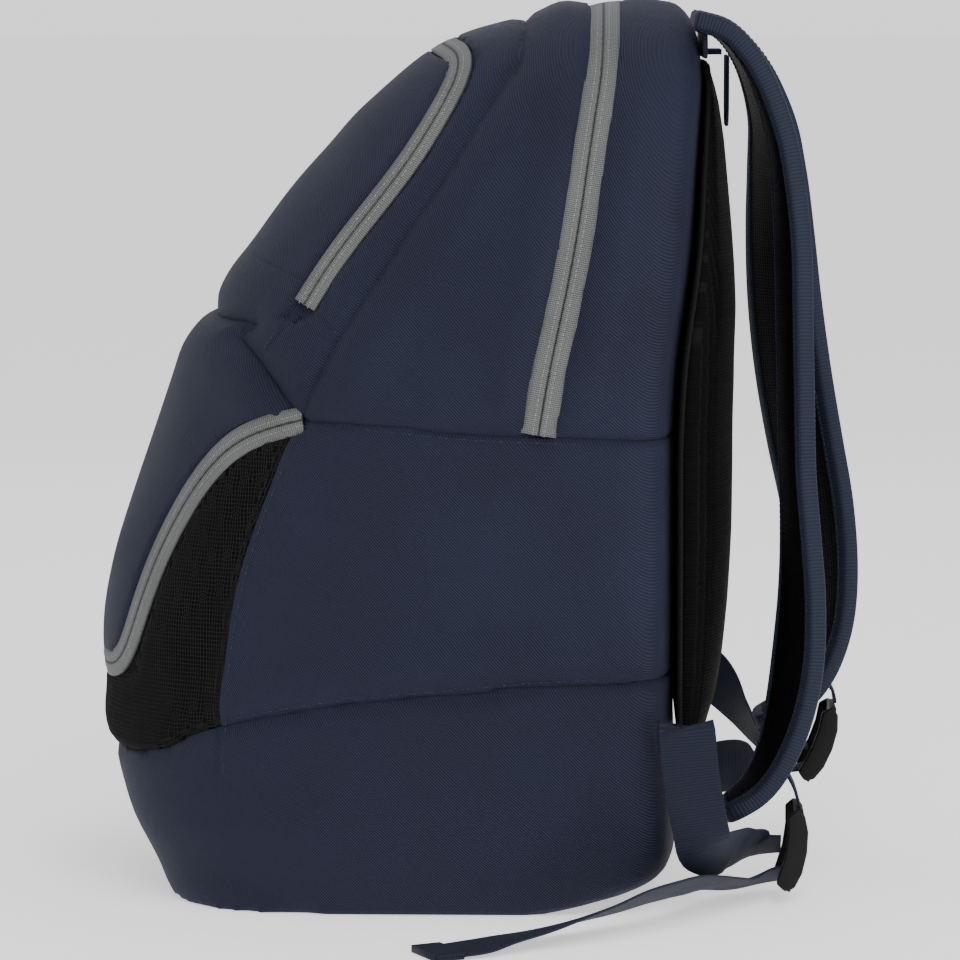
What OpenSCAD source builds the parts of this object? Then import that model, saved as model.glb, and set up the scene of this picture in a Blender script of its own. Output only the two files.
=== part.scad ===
/* [Bag] */
// Overall width of the bag across the side panels
bag_width = 300; // [270:5:330]
// Height of the stuffed bag from its base to the top of the arch
bag_height = 485; // [440:5:530]
// Depth of the bag from the bulge of the lower pocket to the back wall
bag_depth = 318; // [290:2:350]
// Thickness of the lined fabric walls
wall = 2.6; // [2:0.2:3.6]
// Depth of the padding on the back
pad_depth = 29; // [20:1:35]

/* [Zips] */
// Width of the main zip, tapes and coil together
main_zip_width = 17; // [14:1:20]
// Width of the two pocket zips
pocket_zip_width = 13; // [10:1:16]
// Thickness of the zip tape and coil
zip_thickness = 1.4; // [1:0.2:2]

/* [Straps] */
// Width of a padded shoulder strap
strap_width = 64; // [52:2:74]
// Thickness of a padded shoulder strap
strap_thickness = 13; // [9:1:16]
// Width of the adjusting webbing
webbing_width = 30; // [20:1:34]
// Thickness of the adjusting webbing
webbing_thickness = 2; // [1.4:0.2:3]

/* [Hidden] */

clearance = 0.4;
big = 900;
kx = bag_width / 300;
ky = bag_depth / 318;
kz = bag_height / 485;

// Side outline of the bag: height, front, back
profile = [for (p = [
    [0, -160, 50], [4, -164, 66], [9, -168, 84], [16, -173, 99], [25, -179, 106], [45, -192, 108],
    [75, -203, 107], [105, -209, 106], [130, -211, 106], [160, -208, 106], [200, -197, 106],
    [250, -180, 106], [290, -167, 108], [315, -152, 111], [345, -132, 115], [370, -114, 117],
    [390, -98, 118], [405, -84, 119], [422, -70, 120], [440, -51, 121], [452, -37, 120],
    [462, -22, 119], [470, -2, 117], [476, 20, 114], [481, 45, 110], [485, 66, 104]
    ]) [p[0] * kz, p[1] * ky, p[2] * ky]];
top_z = bag_height;
front_table = [for (p = profile) [p[0], p[1]]];
back_table = [for (p = profile) [p[0], p[2]]];
function front_y(z) = lookup(z, front_table);
function back_y(z) = lookup(z, back_table);

// The front view is an arch: straight sides that close in a rounded top
arch_start = 275 * kz;
arch_top = 487 * kz;
arch_power = 2.5;
function half_width(z) = bag_width / 2 * (z < arch_start ? lookup(z, [[0, 0.93], [45, 0.985], [90, 1]])
    : pow(1 - pow((z - arch_start) / (arch_top - arch_start), arch_power), 1 / arch_power));

// The plan is a D: the widest place lies near the back, with a long curve to the front
front_power = 2.7;
back_power = 5;
widest_from_back = 45;
function widest_y(z) = back_y(z) - min(widest_from_back, (back_y(z) - front_y(z)) / 2);
function signed_power(v, p) = sign(v) * pow(abs(v), p);
ring_points = 40;

function clamp(v) = max(0, min(1, v));
function level(z, inset) = min(top_z, z + inset * clamp((z / kz - 150) / 100));
function ring(z, inset) =
    let (zz = level(z, inset), yw = widest_y(zz), a = half_width(zz) - inset,
         bf = yw - front_y(zz) - inset, bb = back_y(zz) - yw - inset)
    [for (i = [0:ring_points - 1])
        let (t = 360 * (i + 0.5) / ring_points, p = sin(t) > 0 ? back_power : front_power)
        [a * signed_power(cos(t), 2 / p), yw + (sin(t) > 0 ? bb : bf) * signed_power(sin(t), 2 / p), z]];

// Half-width of the outer surface at a place on the side
function side_x(y, z) =
    let (yw = widest_y(z), u = y < yw ? (yw - y) / (yw - front_y(z)) : (y - yw) / (back_y(z) - yw),
         p = y < yw ? front_power : back_power)
    half_width(z) * pow(max(0.0001, 1 - pow(min(1, u), p)), 1 / p);

// Solid through a list of rings with equal numbers of points
module loft(rings) {
    n = len(rings[0]);
    m = len(rings);
    // Both halves of a ring split their quads along the same diagonal, so a twisted thin band stays clean
    sides = [for (j = [0:m - 2]) for (i = [0:n - 1])
        let (k = (i + 1) % n, a = j * n + i, b = a + n, c = (j + 1) * n + k, d = j * n + k)
        each (i < n / 2 ? [[a, b, c], [a, c, d]] : [[a, b, d], [b, c, d]])];
    caps = [[for (i = [0:n - 1]) i], [for (i = [n - 1:-1:0]) (m - 1) * n + i]];
    polyhedron([for (r = rings) each r], concat(sides, caps));
}

// The bag's solid form, moved in by inset
module form(inset) {
    bottom = max(0, inset);
    loft([for (p = profile)
        let (z = max(bottom, min(p[0], top_z - inset)))
        if (p[0] == 0 || p[0] == top_z || (p[0] > bottom + 1 && p[0] < top_z - inset - 1))
        ring(p[0] == top_z ? top_z - inset : z, inset)]);
}

// A side-view outline cut right across the bag
module across(outline) {
    rotate([90, 0, 90]) linear_extrude(big, center = true) polygon(outline);
}

// A panel of fabric: the layer between two insets, inside a side-view outline
module panel(outline, outer_inset, inner_inset) {
    resize([0, 0, 0]) intersection() {
        difference() {
            form(outer_inset);
            form(inner_inset);
        }
        across(outline);
    }
}

function fit(points) = [for (p = points) [p[0] * ky, p[1] * kz]];
function backwards(points) = [for (i = [len(points) - 1:-1:0]) points[i]];
function shifted(points, dy, dz) = [for (p = points) [p[0] + dy, p[1] + dz]];
function unit(v) = v / norm(v);

// Offset of an open side-view line to its right-hand side
function beside(points, d) = [for (i = [0:len(points) - 1])
    let (a = points[max(0, i - 1)], b = points[min(len(points) - 1, i + 1)], t = unit(b - a))
    points[i] + d * [t[1], -t[0]]];
function strip(points, d1, d2) = concat(beside(points, d1), backwards(beside(points, d2)));

// Seam and zip lines in side view: Y, Z, from low to high or from front to back
base_seam = fit([[-400, 68], [-200, 78], [-150, 95], [-110, 106], [-60, 115], [0, 121], [60, 126],
    [400, 136]]);
side_seam = fit([[-94, 264], [-40, 262], [30, 257], [400, 247]]);
crease = fit([[-94, 264], [-113, 289], [-130, 307], [-144, 317], [-400, 319]]);
main_zip = fit([[32, 257.6], [38, 287], [46, 323], [54, 365], [60, 407], [64, 433], [67, 459], [67,
    500]]);
upper_zip = fit([[-95, 318], [-80, 344], [-66, 363], [-50, 383], [-34, 404], [-21, 425], [-11, 443],
    [-9, 456], [-22, 462], [-60, 480]]);
lower_zip = fit([[-250, 122], [-203, 123], [-193, 131], [-184, 157], [-176, 180], [-165, 204], [-151,
    227],
    [-135, 246], [-119, 256], [-101, 261]]);
mesh_edge = fit([[-138, 60], [-136, 120], [-129, 170], [-116, 212], [-98, 262]]);

// The flap's soft sides crumple below this line, which runs from the crease to the zip's lower end
fold_line = fit([[-400, 354], [-155, 348], [-92, 338], [-60, 300], [0, 280], [31, 270], [60, 270]]);

module base_tub() {
    color([0.09, 0.12, 0.2])
    panel(concat([[-big, -big]], shifted(base_seam, 0, -clearance / 2), [[big, -big]]), 0, wall);
}

// Stiffening board that lies on the floor of the base
board_thickness = 2.4;
module base_board() {
    color([0.12, 0.12, 0.13])
    resize([0, 0, 0]) intersection() {
        form(wall + 3);
        across([[-big, 0], [36 * ky, 0], [36 * ky, wall + 3 + board_thickness], [-big,
            wall + 3 + board_thickness]]);
    }
}

module lower_side_shell() {
    front = beside(mesh_edge, 0.2);
    color([0.1, 0.13, 0.22])
    panel(concat(shifted(side_seam, 0, -0.2), [[big, 120 * kz]],
        backwards([for (p = base_seam) if (p[0] > -120 * ky) p]),
        [for (p = front) if (p[1] > 103 * kz && p[1] < 250 * kz) p]), 0, wall);
}

module upper_rear_shell() {
    color([0.1, 0.13, 0.22])
    panel(concat(beside(main_zip, clearance / 2), [[big, big], [big, 247 * kz], [400 * ky,
        247 * kz + 0.2]]), 0, wall);
}

// Everything in front of the main zip and above the fold line
flap_outline = concat(fold_line_part(), beside(main_zip, -clearance / 2 - 0.1), [[67 * ky, 2 * big],
    [-big, 2 * big]]);
function fold_line_part() = [for (p = fold_line) if (p[0] < 32 * ky) p];
module upper_front_shell() {
    color([0.1, 0.13, 0.22])
    resize([0, 0, 0]) difference() {
        panel([for (p = flap_outline) if (p[1] > 269 * kz) p], 0, wall);
        across(concat([[-95 * ky, 250 * kz]], upper_zip, [[-big, 480 * kz], [-big, 250 * kz]]));
    }
}

// Soft strips of side fabric that crumple under the flap
module flap_side_folds() {
    color([0.09, 0.12, 0.21])
    panel(concat([for (p = backwards(crease)) if (p[0] > -300 * ky) p + [1, 0.6]],
        [[-40 * ky, 262 * kz + clearance], [31 * ky, 257 * kz + clearance], [34 * ky, 269 * kz]],
        [for (p = backwards(fold_line)) if (p[0] < 30 * ky) p - [0, 1]]), 0.4, wall - 0.4);
}

module lower_pocket_cover() {
    color([0.1, 0.13, 0.22])
    panel(concat(beside(lower_zip, -clearance), [for (p = crease) p - [1, 2]]), 0, wall);
}

module mesh_gusset() {
    color([0.03, 0.03, 0.03])
    panel(concat([for (p = beside(lower_zip, clearance)) if (p[1] < 257 * kz) p], fit([[-101, 257.2]]),
        [for (p = backwards(mesh_edge)) if (p[1] > 100 * kz && p[1] < 250 * kz) p - [0.4, 0]],
        [for (p = backwards(base_seam)) if (p[0] < -120 * ky) p + [0, 0.4]]), 0.6, wall - 0.4);
}

// Lining wall between the lower pocket and the main compartment
partition_line = fit([[-143, 101], [-141, 130], [-134, 165], [-121, 207], [-105, 245], [-100, 258]]);
module lower_pocket_partition() {
    color([0.2, 0.2, 0.22])
    resize([0, 0, 0]) intersection() {
        form(wall + clearance);
        across(strip(partition_line, 0, 2));
    }
}

module upper_pocket_cover() {
    color([0.1, 0.13, 0.22])
    panel(concat([for (p = beside(upper_zip, -clearance)) if (p[1] > 340 * kz) p],
        [[-big, 480 * kz], [-big, 356 * kz], [-155 * ky, 350 * kz], [-85 * ky, 341 * kz]]), 0, wall);
}

// Lining wall between the upper pocket and the main compartment
upper_partition_line = fit([[-76, 312], [-62, 340], [-40, 372], [-12, 410], [8, 440], [16, 456]]);
module upper_pocket_partition() {
    color([0.2, 0.2, 0.22])
    resize([0, 0, 0]) intersection() {
        form(wall + clearance);
        across(strip(upper_partition_line, -1, 1));
    }
}

// Zip tapes lie on the fabric; each half carries its half of the coil
module zip_half(points, d1, d2) {
    color([0.34, 0.37, 0.38]) panel(strip(points, d1, d2), -zip_thickness, 0);
}
module main_zip_rear() { zip_half(main_zip, 0.2, main_zip_width / 2); }
module main_zip_front() {
    front_run = concat(fit([[35, 272]]), [for (p = main_zip) if (p[1] > 270 * kz) p]);
    zip_half(front_run, -main_zip_width / 2, -0.2);
}
module upper_zip_inner() { zip_half(upper_zip, 0.2, pocket_zip_width / 2); }
module upper_zip_outer() {
    zip_half([for (p = upper_zip) if (p[1] > 340 * kz) p], -pocket_zip_width / 2, -clearance - 0.2);
}
module lower_zip_inner() { zip_half([for (p = lower_zip) if (p[1] < 250 * kz) p], clearance + 0.1,
    pocket_zip_width / 2); }
module lower_zip_outer() { zip_half(lower_zip, -pocket_zip_width / 2, -clearance); }

// Place a piece on the left side panel: local +Z points out of the bag, +Y up along the zip
module on_left_side(low, high) {
    mid = (low + high) / 2;
    a = [-side_x(low[0], low[1]), low[0], low[1]];
    b = [-side_x(high[0], high[1]), high[0], high[1]];
    along = unit(b - a);
    sideways = 5 * unit([0, along[2], -along[1]]);
    reach = unit([side_x(mid[0] - sideways[1], mid[1] - sideways[2]) - side_x(mid[0] + sideways[1],
        mid[1] + sideways[2]),
        2 * sideways[1], 2 * sideways[2]]);
    out = unit(cross(along, reach)) * (cross(along, reach)[0] > 0 ? -1 : 1);
    right = cross(along, out);
    c = (a + b) / 2 + out * slider_lift;
    multmatrix([[right[0], along[0], out[0], c[0]], [right[1], along[1], out[1], c[1]],
        [right[2], along[2], out[2], c[2]], [0, 0, 0, 1]]) children();
}
slider_lift = 2.8;
main_slider_run = fit([[49, 340], [55, 372]]);
upper_slider_run = fit([[-50, 383], [-34, 404]]);
lower_slider_run = fit([[-176, 180], [-168, 198]]);

// Slider body: a wedge plate with a bridge and a hole for the pull's ring
module slider_body() {
    color([0.16, 0.16, 0.17]) {
        difference() {
            union() {
                translate([0, 0, 0.6]) cube([8, 11, 1.6], center = true);
                translate([0, 0, 2.6]) cube([2.6, 8, 3], center = true);
            }
            translate([0, 0, 2.6]) rotate([0, 90, 0]) cylinder(h = 6, r = 1.05, center = true, $fn = 32);
        }
    }
}
pull_length = 26;
module slider_pull() {
    color([0.14, 0.14, 0.15]) {
        translate([0, 0, 2.6]) rotate([0, 90, 0]) cylinder(h = 5.2, r = 0.8, center = true, $fn = 32);
        for (s = [-1, 1]) translate([s * 2.4, -3.4, 2.6]) cube([1, 8.4, 1.6], center = true);
        difference() {
            translate([0, -7 - pull_length / 2, 2.6]) cube([7, pull_length, 1.6], center = true);
            translate([0, -pull_length, 2.6]) cylinder(h = 4, r = 1.8, center = true, $fn = 32);
        }
    }
}
module main_zip_slider() { on_left_side(main_slider_run[0], main_slider_run[1]) slider_body(); }
module main_zip_pull() { on_left_side(main_slider_run[0], main_slider_run[1]) slider_pull(); }
module upper_zip_slider() { on_left_side(upper_slider_run[0], upper_slider_run[1]) slider_body(); }
module upper_zip_pull() { on_left_side(upper_slider_run[0], upper_slider_run[1]) slider_pull(); }
module lower_zip_slider() { on_left_side(lower_slider_run[0], lower_slider_run[1]) slider_body(); }
module lower_zip_pull() { on_left_side(lower_slider_run[0], lower_slider_run[1]) slider_pull(); }

// Padded mesh back: flat against the bag, crowned outside
pad_levels = [for (z = [98, 112, 130, 160, 200, 240, 280, 320, 350, 380, 410, 430, 443, 452]) z * kz];
function pad_out(z) = pad_depth / 29 * lookup(z / kz, [[98, 19], [112, 24], [130, 27], [160, 30], [200,
    32],
    [240, 32], [280, 31], [320, 28], [350, 22], [380, 17], [410, 13], [430, 9], [443, 5], [452, 3]]);
module back_pad() {
    color([0.04, 0.04, 0.04])
    loft([for (z = pad_levels)
        let (w = min(half_width(z), half_width(z + 10)) - 22, y0 = back_y(z) + 0.4, d = pad_out(z))
        concat([for (i = [-5:5]) [i / 5 * w, y0, z]],
            [for (i = [5:-1:-5]) [i / 5 * w, y0 + d * (0.35 + 0.65 * sqrt(1 - pow(i / 5, 4))), z]])]);
}

back_board_y = 99 * ky;
module back_board() {
    color([0.15, 0.15, 0.16])
    translate([0, back_board_y + 2, 245 * kz]) rotate([90, 0, 0])
    linear_extrude(2) offset(20) square([180 * kx, 330 * kz], center = true);
}

// Open-topped sleeve for rackets on the inside of the back
sleeve_depth = 30;
sleeve_width = 200;
sleeve_low = 125;
sleeve_high = 330;
module racket_sleeve() {
    color([0.25, 0.25, 0.28])
    difference() {
        translate([-sleeve_width * kx / 2, back_board_y - sleeve_depth, sleeve_low * kz])
            cube([sleeve_width * kx, sleeve_depth - clearance, (sleeve_high - sleeve_low) * kz]);
        translate([-sleeve_width * kx / 2 + 2, back_board_y - sleeve_depth + 2, sleeve_low * kz + 2])
            cube([sleeve_width * kx - 4, sleeve_depth - 4 - clearance, (sleeve_high - sleeve_low) * kz]);
    }
}

// Curve through points, with steps places in each stretch
function curve_at(p, i, t) =
    let (n = len(p) - 1, a = p[max(0, i - 1)], b = p[i], c = p[min(n, i + 1)], d = p[min(n, i + 2)])
    b + 0.5 * t * (c - a + t * (2 * a - 5 * b + 4 * c - d + t * (3 * b - a - 3 * c + d)));
function smooth(p, steps) = concat([for (i = [0:len(p) - 2]) for (k = [0:steps - 1]) curve_at(p, i,
    k / steps)],
    [p[len(p) - 1]]);

// Swept band: its places, the direction across it at each place, its section
function band_section(h, k, r) = r > 0
    ? [[-h + r, -k], [h - r, -k], [h, -k + r], [h, k - r], [h - r, k], [-h + r, k], [-h, k - r], [-h,
        -k + r]]
    : [[-h, -k], [h, -k], [h, k], [-h, k]];
function band_ring(p, w, t, section) =
    let (across_dir = unit(w - (w * t) * t), out = cross(t, across_dir))
    [for (c = section) p + c[0] * across_dir + c[1] * out];
module band(places, across_dirs, widths, thickness, rounding) {
    m = len(places);
    loft([for (i = [0:m - 1])
        let (t = unit(places[min(m - 1, i + 1)] - places[max(0, i - 1)]))
        band_ring(places[i], across_dirs[i], t, band_section(widths[i] / 2, thickness / 2, rounding))]);
}
// Flat webbing along a route
module webbing(route, across_dirs) {
    places = smooth(route, 3);
    band(places, smooth(across_dirs, 3), [for (p = places) webbing_width], webbing_thickness, 0);
}
function fit3(rows) = [for (p = rows) [p[0] * kx, p[1] * ky, p[2] * kz]];

// Shoulder straps: X, Y, Z and the lean of the band about its length
strap_right_route = [[62, 128, 462, 0], [64, 140, 455, 0], [68, 152, 440, 2], [72, 161, 418, 4], [76,
    166, 390, 6],
    [78, 169, 355, 8], [80, 170, 315, 8], [81, 171, 275, 8], [82, 172, 235, 8], [82, 174, 200, 10],
    [82, 175, 165, 14], [82, 173, 130, 18], [82, 168, 100, 18], [82, 160, 75, 14], [82, 150, 59, 10],
        [82, 138, 50, 6]];
strap_left_route = [[-62, 128, 462, 0], [-64, 142, 456, 4], [-68, 155, 440, 10], [-72, 163, 418, 16],
    [-76, 166, 390, 22],
    [-78, 168, 355, 28], [-80, 171, 315, 32], [-81, 176, 275, 34], [-82, 183, 235, 34], [-82, 190, 200,
        32],
    [-82, 195, 165, 28], [-82, 196, 135, 24], [-82, 192, 110, 20], [-82, 185, 92, 14], [-82, 174, 80,
        10], [-82, 162, 74, 6]];
strap_taper = [46, 52, 58, 62, 64, 64, 64, 64, 64, 64, 62, 58, 52, 46, 42, 38];
module strap(route) {
    places = fit3([for (p = route) [p[0], p[1], p[2]]]);
    leans = [for (p = route) [cos(p[3]), sin(p[3]), 0]];
    band(places, leans, strap_taper * strap_width / 64, strap_thickness, strap_thickness / 3);
}
module strap_right() {
    color([0.08, 0.1, 0.17]) strap(strap_right_route);
}
module strap_left() {
    color([0.08, 0.1, 0.17]) strap(strap_left_route);
}

// Fabric yoke that the straps and the haul loop are sewn to
yoke_z = 461;
module strap_yoke() {
    color([0.09, 0.12, 0.2])
    translate([0, 121.3 * ky, yoke_z * kz]) cube([156 * kx, 2.4, 14], center = true);
}

// Haul loop of webbing, hanging down between the straps
loop_half = 24;
loop_drop = 42;
loop_y = 135;
module haul_loop() {
    color([0.09, 0.11, 0.18])
    difference() {
        translate([0, loop_y * ky, 457 * kz - loop_drop / 2]) rotate([90, 0, 0])
            linear_extrude(2.4, center = true) difference() {
                square([loop_half * 2, loop_drop], center = true);
                translate([0, 5]) square([loop_half * 2 - 20, loop_drop - 24], center = true);
            }
        translate([0, loop_y * ky, 457 * kz - 2]) rotate([0, 90, 0]) cylinder(h = 12, r = 1,
            center = true, $fn = 24);
    }
}
module haul_loop_tabs() {
    color([0.09, 0.11, 0.18])
    for (s = [-1, 1]) translate([s * (loop_half - 5), (123.3 + loop_y - 3.3) / 2 * ky, 457 * kz])
        cube([10, (loop_y - 3.3 - 123.3) * ky, 3], center = true);
}

// Ladder-lock buckle: an open frame with three bars
module buckle(place, tilt) {
    translate([place[0] * kx, place[1] * ky, place[2] * kz]) rotate([tilt, 0, 0])
    color([0.03, 0.03, 0.03]) {
        difference() {
            cube([webbing_width + 12, 5, 44], center = true);
            translate([0, 0, 11]) cube([webbing_width + 3, 8, 11], center = true);
            translate([0, 0, -8]) cube([webbing_width + 3, 8, 20], center = true);
        }
        translate([0, 0, -8]) rotate([0, 90, 0]) cylinder(h = webbing_width + 4, r = 2.2,
            center = true, $fn = 32);
    }
}
buckle_right_place = [82, 171, 29];
buckle_left_place = [-82, 193, 60];
module buckle_right() { buckle(buckle_right_place, -8); }
module buckle_left() { buckle(buckle_left_place, -20); }

// Short webbing tabs that hold the buckles to the strap ends
module strap_tab(rows) {
    color([0.08, 0.1, 0.18])
    band(fit3(rows), [for (p = rows) [1, 0, 0]], [for (p = rows) webbing_width - 4], webbing_thickness,
        0);
}
module strap_tab_right() { strap_tab([[82, 168, 68], [82, 171.5, 61], [82, 173.8, 52.4]]); }
module strap_tab_left() { strap_tab([[-82, 197.4, 94], [-82, 200.4, 89], [-82, 201.4, 83.4]]); }

// Folded tabs of webbing sewn into the lower back corners
module webbing_anchors() {
    color([0.09, 0.11, 0.18])
    for (s = [-1, 1]) translate([s * (148 * kx + 1.6), 99 * ky, 112 * kz]) cube([2.4, 26, 22],
        center = true);
}

// Adjusting webbing from each lower corner to its buckle
loop_right_route = [[153, 110, 99], [155, 112, 80], [155, 114, 62], [152, 118, 47], [145, 122, 38],
    [134, 127, 34],
    [121, 132, 31.5], [108, 137, 30], [96, 142, 29], [83.5, 152, 29], [82, 164.5, 29.5]];
loop_right_across = [[0, 1, 0], [0, 1, 0], [0.1, 1, 0.1], [0.2, 0.9, 0.4], [0.3, 0.7, 0.7], [0.35, 0.5,
    0.85],
    [0.45, 0.35, 0.85], [0.6, 0.2, 0.75], [0.8, 0.05, 0.55], [0.95, 0, 0.25], [1, 0, 0.05]];
loop_left_route = [[-154, 101, 108], [-155, 112, 101], [-150, 124, 94], [-141, 135, 86], [-130, 144,
    77], [-118, 151, 68],
    [-106, 157, 62], [-95, 164, 58.5], [-83.5, 174, 56.5], [-82, 185.8, 57]];
loop_left_across = [[0, 0.5, 1], [0, 0.4, 1], [0, 0.3, 1], [0.1, 0.2, 1], [0.3, 0.1, 0.9], [0.55, 0,
    0.75],
    [0.75, 0, 0.55], [0.9, 0, 0.35], [1, 0, 0.15], [1, 0, 0.05]];
module webbing_loop_right() {
    color([0.08, 0.1, 0.18]) webbing(fit3(loop_right_route), loop_right_across);
}
module webbing_loop_left() {
    color([0.08, 0.1, 0.18]) webbing(fit3(loop_left_route), loop_left_across);
}

// Free tails of the webbing
tail_right_route = [[82, 164.6, 13.5], [84, 155, 11.8], [92, 145, 10.5], [104, 137, 11.5], [118, 130,
    14], [132, 121, 16],
    [147, 111, 18], [162, 99, 18], [176, 84, 16], [190, 68, 13], [202, 51, 10], [213, 34, 7], [223, 17,
        5], [231, 4, 3],
    [238, -9, 2.3]];
tail_right_across = [[1, 0.05, 0], [1, 0.25, 0.05], [0.9, 0.4, 0.12], [0.8, 0.5, 0.22], [0.75, 0.5,
    0.32], [0.7, 0.5, 0.42],
    [0.7, 0.5, 0.5], [0.7, 0.5, 0.5], [0.7, 0.5, 0.5], [0.8, 0.5, 0.4], [0.8, 0.5, 0.3], [0.9, 0.5,
        0.2], [0.9, 0.5, 0.1],
    [0.9, 0.5, 0], [0.88, 0.47, 0]];
module webbing_tail_right() {
    color([0.08, 0.1, 0.18]) webbing(tail_right_route, tail_right_across);
}
tail_left_route = [[-82, 183, 44.5], [-83.5, 172, 42], [-91, 161, 41.5], [-102, 152, 41], [-115, 144,
    39.5],
    [-128, 136, 36], [-141, 126, 30.5], [-152, 113, 24], [-161, 99, 17], [-168, 84, 11], [-173, 70, 6],
        [-175, 55, 3],
    [-176, 41, 2.3]];
tail_left_across = [[1, 0.05, 0.05], [1, 0.2, 0.2], [0.8, 0.3, 0.5], [0.6, 0.3, 0.75], [0.4, 0.3,
    0.85], [0.3, 0.2, 0.9],
    [0.25, 0.1, 0.9], [0.4, 0, 0.8], [0.6, 0, 0.6], [0.85, 0, 0.35], [1, 0, 0.15], [1, 0, 0], [1, 0.05,
        0]];
module webbing_tail_left() {
    color([0.08, 0.1, 0.18]) webbing(tail_left_route, tail_left_across);
}
module tail_hem_right() {
    color([0.08, 0.1, 0.18]) translate([241.9, -16.2, 2.3]) rotate([0, 0, 28]) cube([webbing_width, 16,
        4.4], center = true);
}
module tail_hem_left() {
    color([0.08, 0.1, 0.18]) translate([-176.5, 32.8, 2.3]) rotate([0, 0, -4]) cube([webbing_width, 16,
        4.4], center = true);
}

base_tub();
base_board();
lower_side_shell();
upper_rear_shell();
upper_front_shell();
flap_side_folds();
lower_pocket_cover();
mesh_gusset();
lower_pocket_partition();
upper_pocket_cover();
upper_pocket_partition();
main_zip_rear();
main_zip_front();
upper_zip_inner();
upper_zip_outer();
lower_zip_inner();
lower_zip_outer();
main_zip_slider();
main_zip_pull();
upper_zip_slider();
upper_zip_pull();
lower_zip_slider();
lower_zip_pull();
back_pad();
back_board();
racket_sleeve();
strap_yoke();
haul_loop();
haul_loop_tabs();
strap_right();
strap_left();
strap_tab_right();
strap_tab_left();
buckle_right();
buckle_left();
webbing_anchors();
webbing_loop_right();
webbing_loop_left();
webbing_tail_right();
webbing_tail_left();
tail_hem_right();
tail_hem_left();
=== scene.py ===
import math
import bmesh
import bpy
import numpy as np
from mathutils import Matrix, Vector, noise
from mathutils.bvhtree import BVHTree


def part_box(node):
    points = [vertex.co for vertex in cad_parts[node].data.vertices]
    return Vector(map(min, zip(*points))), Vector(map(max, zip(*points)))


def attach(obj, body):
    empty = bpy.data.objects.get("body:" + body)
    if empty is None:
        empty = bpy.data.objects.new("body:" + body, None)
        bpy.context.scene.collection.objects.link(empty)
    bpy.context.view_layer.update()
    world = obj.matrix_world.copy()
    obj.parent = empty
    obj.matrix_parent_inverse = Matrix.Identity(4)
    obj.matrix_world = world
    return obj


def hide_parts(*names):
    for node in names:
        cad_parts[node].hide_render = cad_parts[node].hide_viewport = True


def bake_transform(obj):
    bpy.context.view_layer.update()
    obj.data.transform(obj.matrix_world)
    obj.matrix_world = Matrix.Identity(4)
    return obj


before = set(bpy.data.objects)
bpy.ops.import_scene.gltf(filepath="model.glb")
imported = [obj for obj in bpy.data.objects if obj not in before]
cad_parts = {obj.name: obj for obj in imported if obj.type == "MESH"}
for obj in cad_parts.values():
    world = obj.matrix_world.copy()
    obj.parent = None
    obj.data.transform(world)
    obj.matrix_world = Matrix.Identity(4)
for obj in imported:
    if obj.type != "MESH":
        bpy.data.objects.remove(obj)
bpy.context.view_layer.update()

MM = 0.001


# ---------------------------------------------------------------- view and light
def add_camera():
    data = bpy.data.cameras.new("camera")
    data.sensor_width = 36
    data.clip_end = 200
    camera = bpy.data.objects.new("camera", data)
    bpy.context.collection.objects.link(camera)
    azimuth, elevation, distance = math.radians(91.5), math.radians(6.0), 2.55
    target = Vector((0.0, -0.001, 0.219))
    back = Vector((math.sin(azimuth) * math.cos(elevation), -math.cos(azimuth) * math.cos(elevation),
                   math.sin(elevation)))
    camera.location = target + back * distance
    camera.rotation_euler = (-back).to_track_quat("-Z", "Y").to_euler()
    data.lens = 36 * distance / (960 * 0.5575 * MM)
    bpy.context.scene.camera = camera


def add_light(name, place, target, size, power, colour=(1, 1, 1)):
    data = bpy.data.lights.new(name, "AREA")
    data.shape = "RECTANGLE"
    data.size, data.size_y = size
    data.energy = power
    data.color = colour
    light = bpy.data.objects.new(name, data)
    bpy.context.collection.objects.link(light)
    light.location = place
    light.rotation_euler = (Vector(target) - Vector(place)).to_track_quat("-Z", "Y").to_euler()


def add_studio():
    world = bpy.data.worlds.new("studio")
    bpy.context.scene.world = world
    world.use_nodes = True
    tree = world.node_tree
    tree.nodes["Background"].inputs["Color"].default_value = (1, 1, 1, 1)
    direction = tree.nodes.new("ShaderNodeTexCoord").outputs["Generated"]
    height = tree.nodes.new("ShaderNodeSeparateXYZ")
    tree.links.new(direction, height.inputs[0])
    fall = tree.nodes.new("ShaderNodeMapRange")
    tree.links.new(height.outputs["Z"], fall.inputs["Value"])
    fall.inputs["From Max"].default_value = 0.3
    fall.inputs["To Min"].default_value = 1.36
    fall.inputs["To Max"].default_value = 0.6
    tree.links.new(fall.outputs["Result"], tree.nodes["Background"].inputs["Strength"])
    centre = (0, 0, 0.24)
    add_light("key", (1.7, 0.35, 1.6), centre, (1.2, 1.2), 22)
    add_light("fill", (1.8, 1.1, 0.9), centre, (1.4, 1.4), 5)
    add_light("far", (-1.7, -0.2, 1.4), centre, (1.2, 1.2), 4)
    add_light("top", (0.1, 0.6, 2.0), centre, (1.0, 1.0), 8)
    mesh = bpy.data.meshes.new("floor")
    half = 60.0
    corners = [(-half, -half, 0), (half, -half, 0), (half, half, 0), (-half, half, 0)]
    mesh.from_pydata(corners, [], [(0, 1, 2, 3)])
    floor = bpy.data.objects.new("floor", mesh)
    bpy.context.collection.objects.link(floor)
    mat = bpy.data.materials.new("floor_white")
    mat.use_nodes = True
    shader = mat.node_tree.nodes["Principled BSDF"]
    shader.inputs["Base Color"].default_value = (0.9, 0.9, 0.9, 1)
    shader.inputs["Roughness"].default_value = 0.9
    shader.inputs["Emission Color"].default_value = (1, 1, 1, 1)
    shader.inputs["Emission Strength"].default_value = 0.72
    mesh.materials.append(mat)


add_camera()
add_studio()


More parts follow.
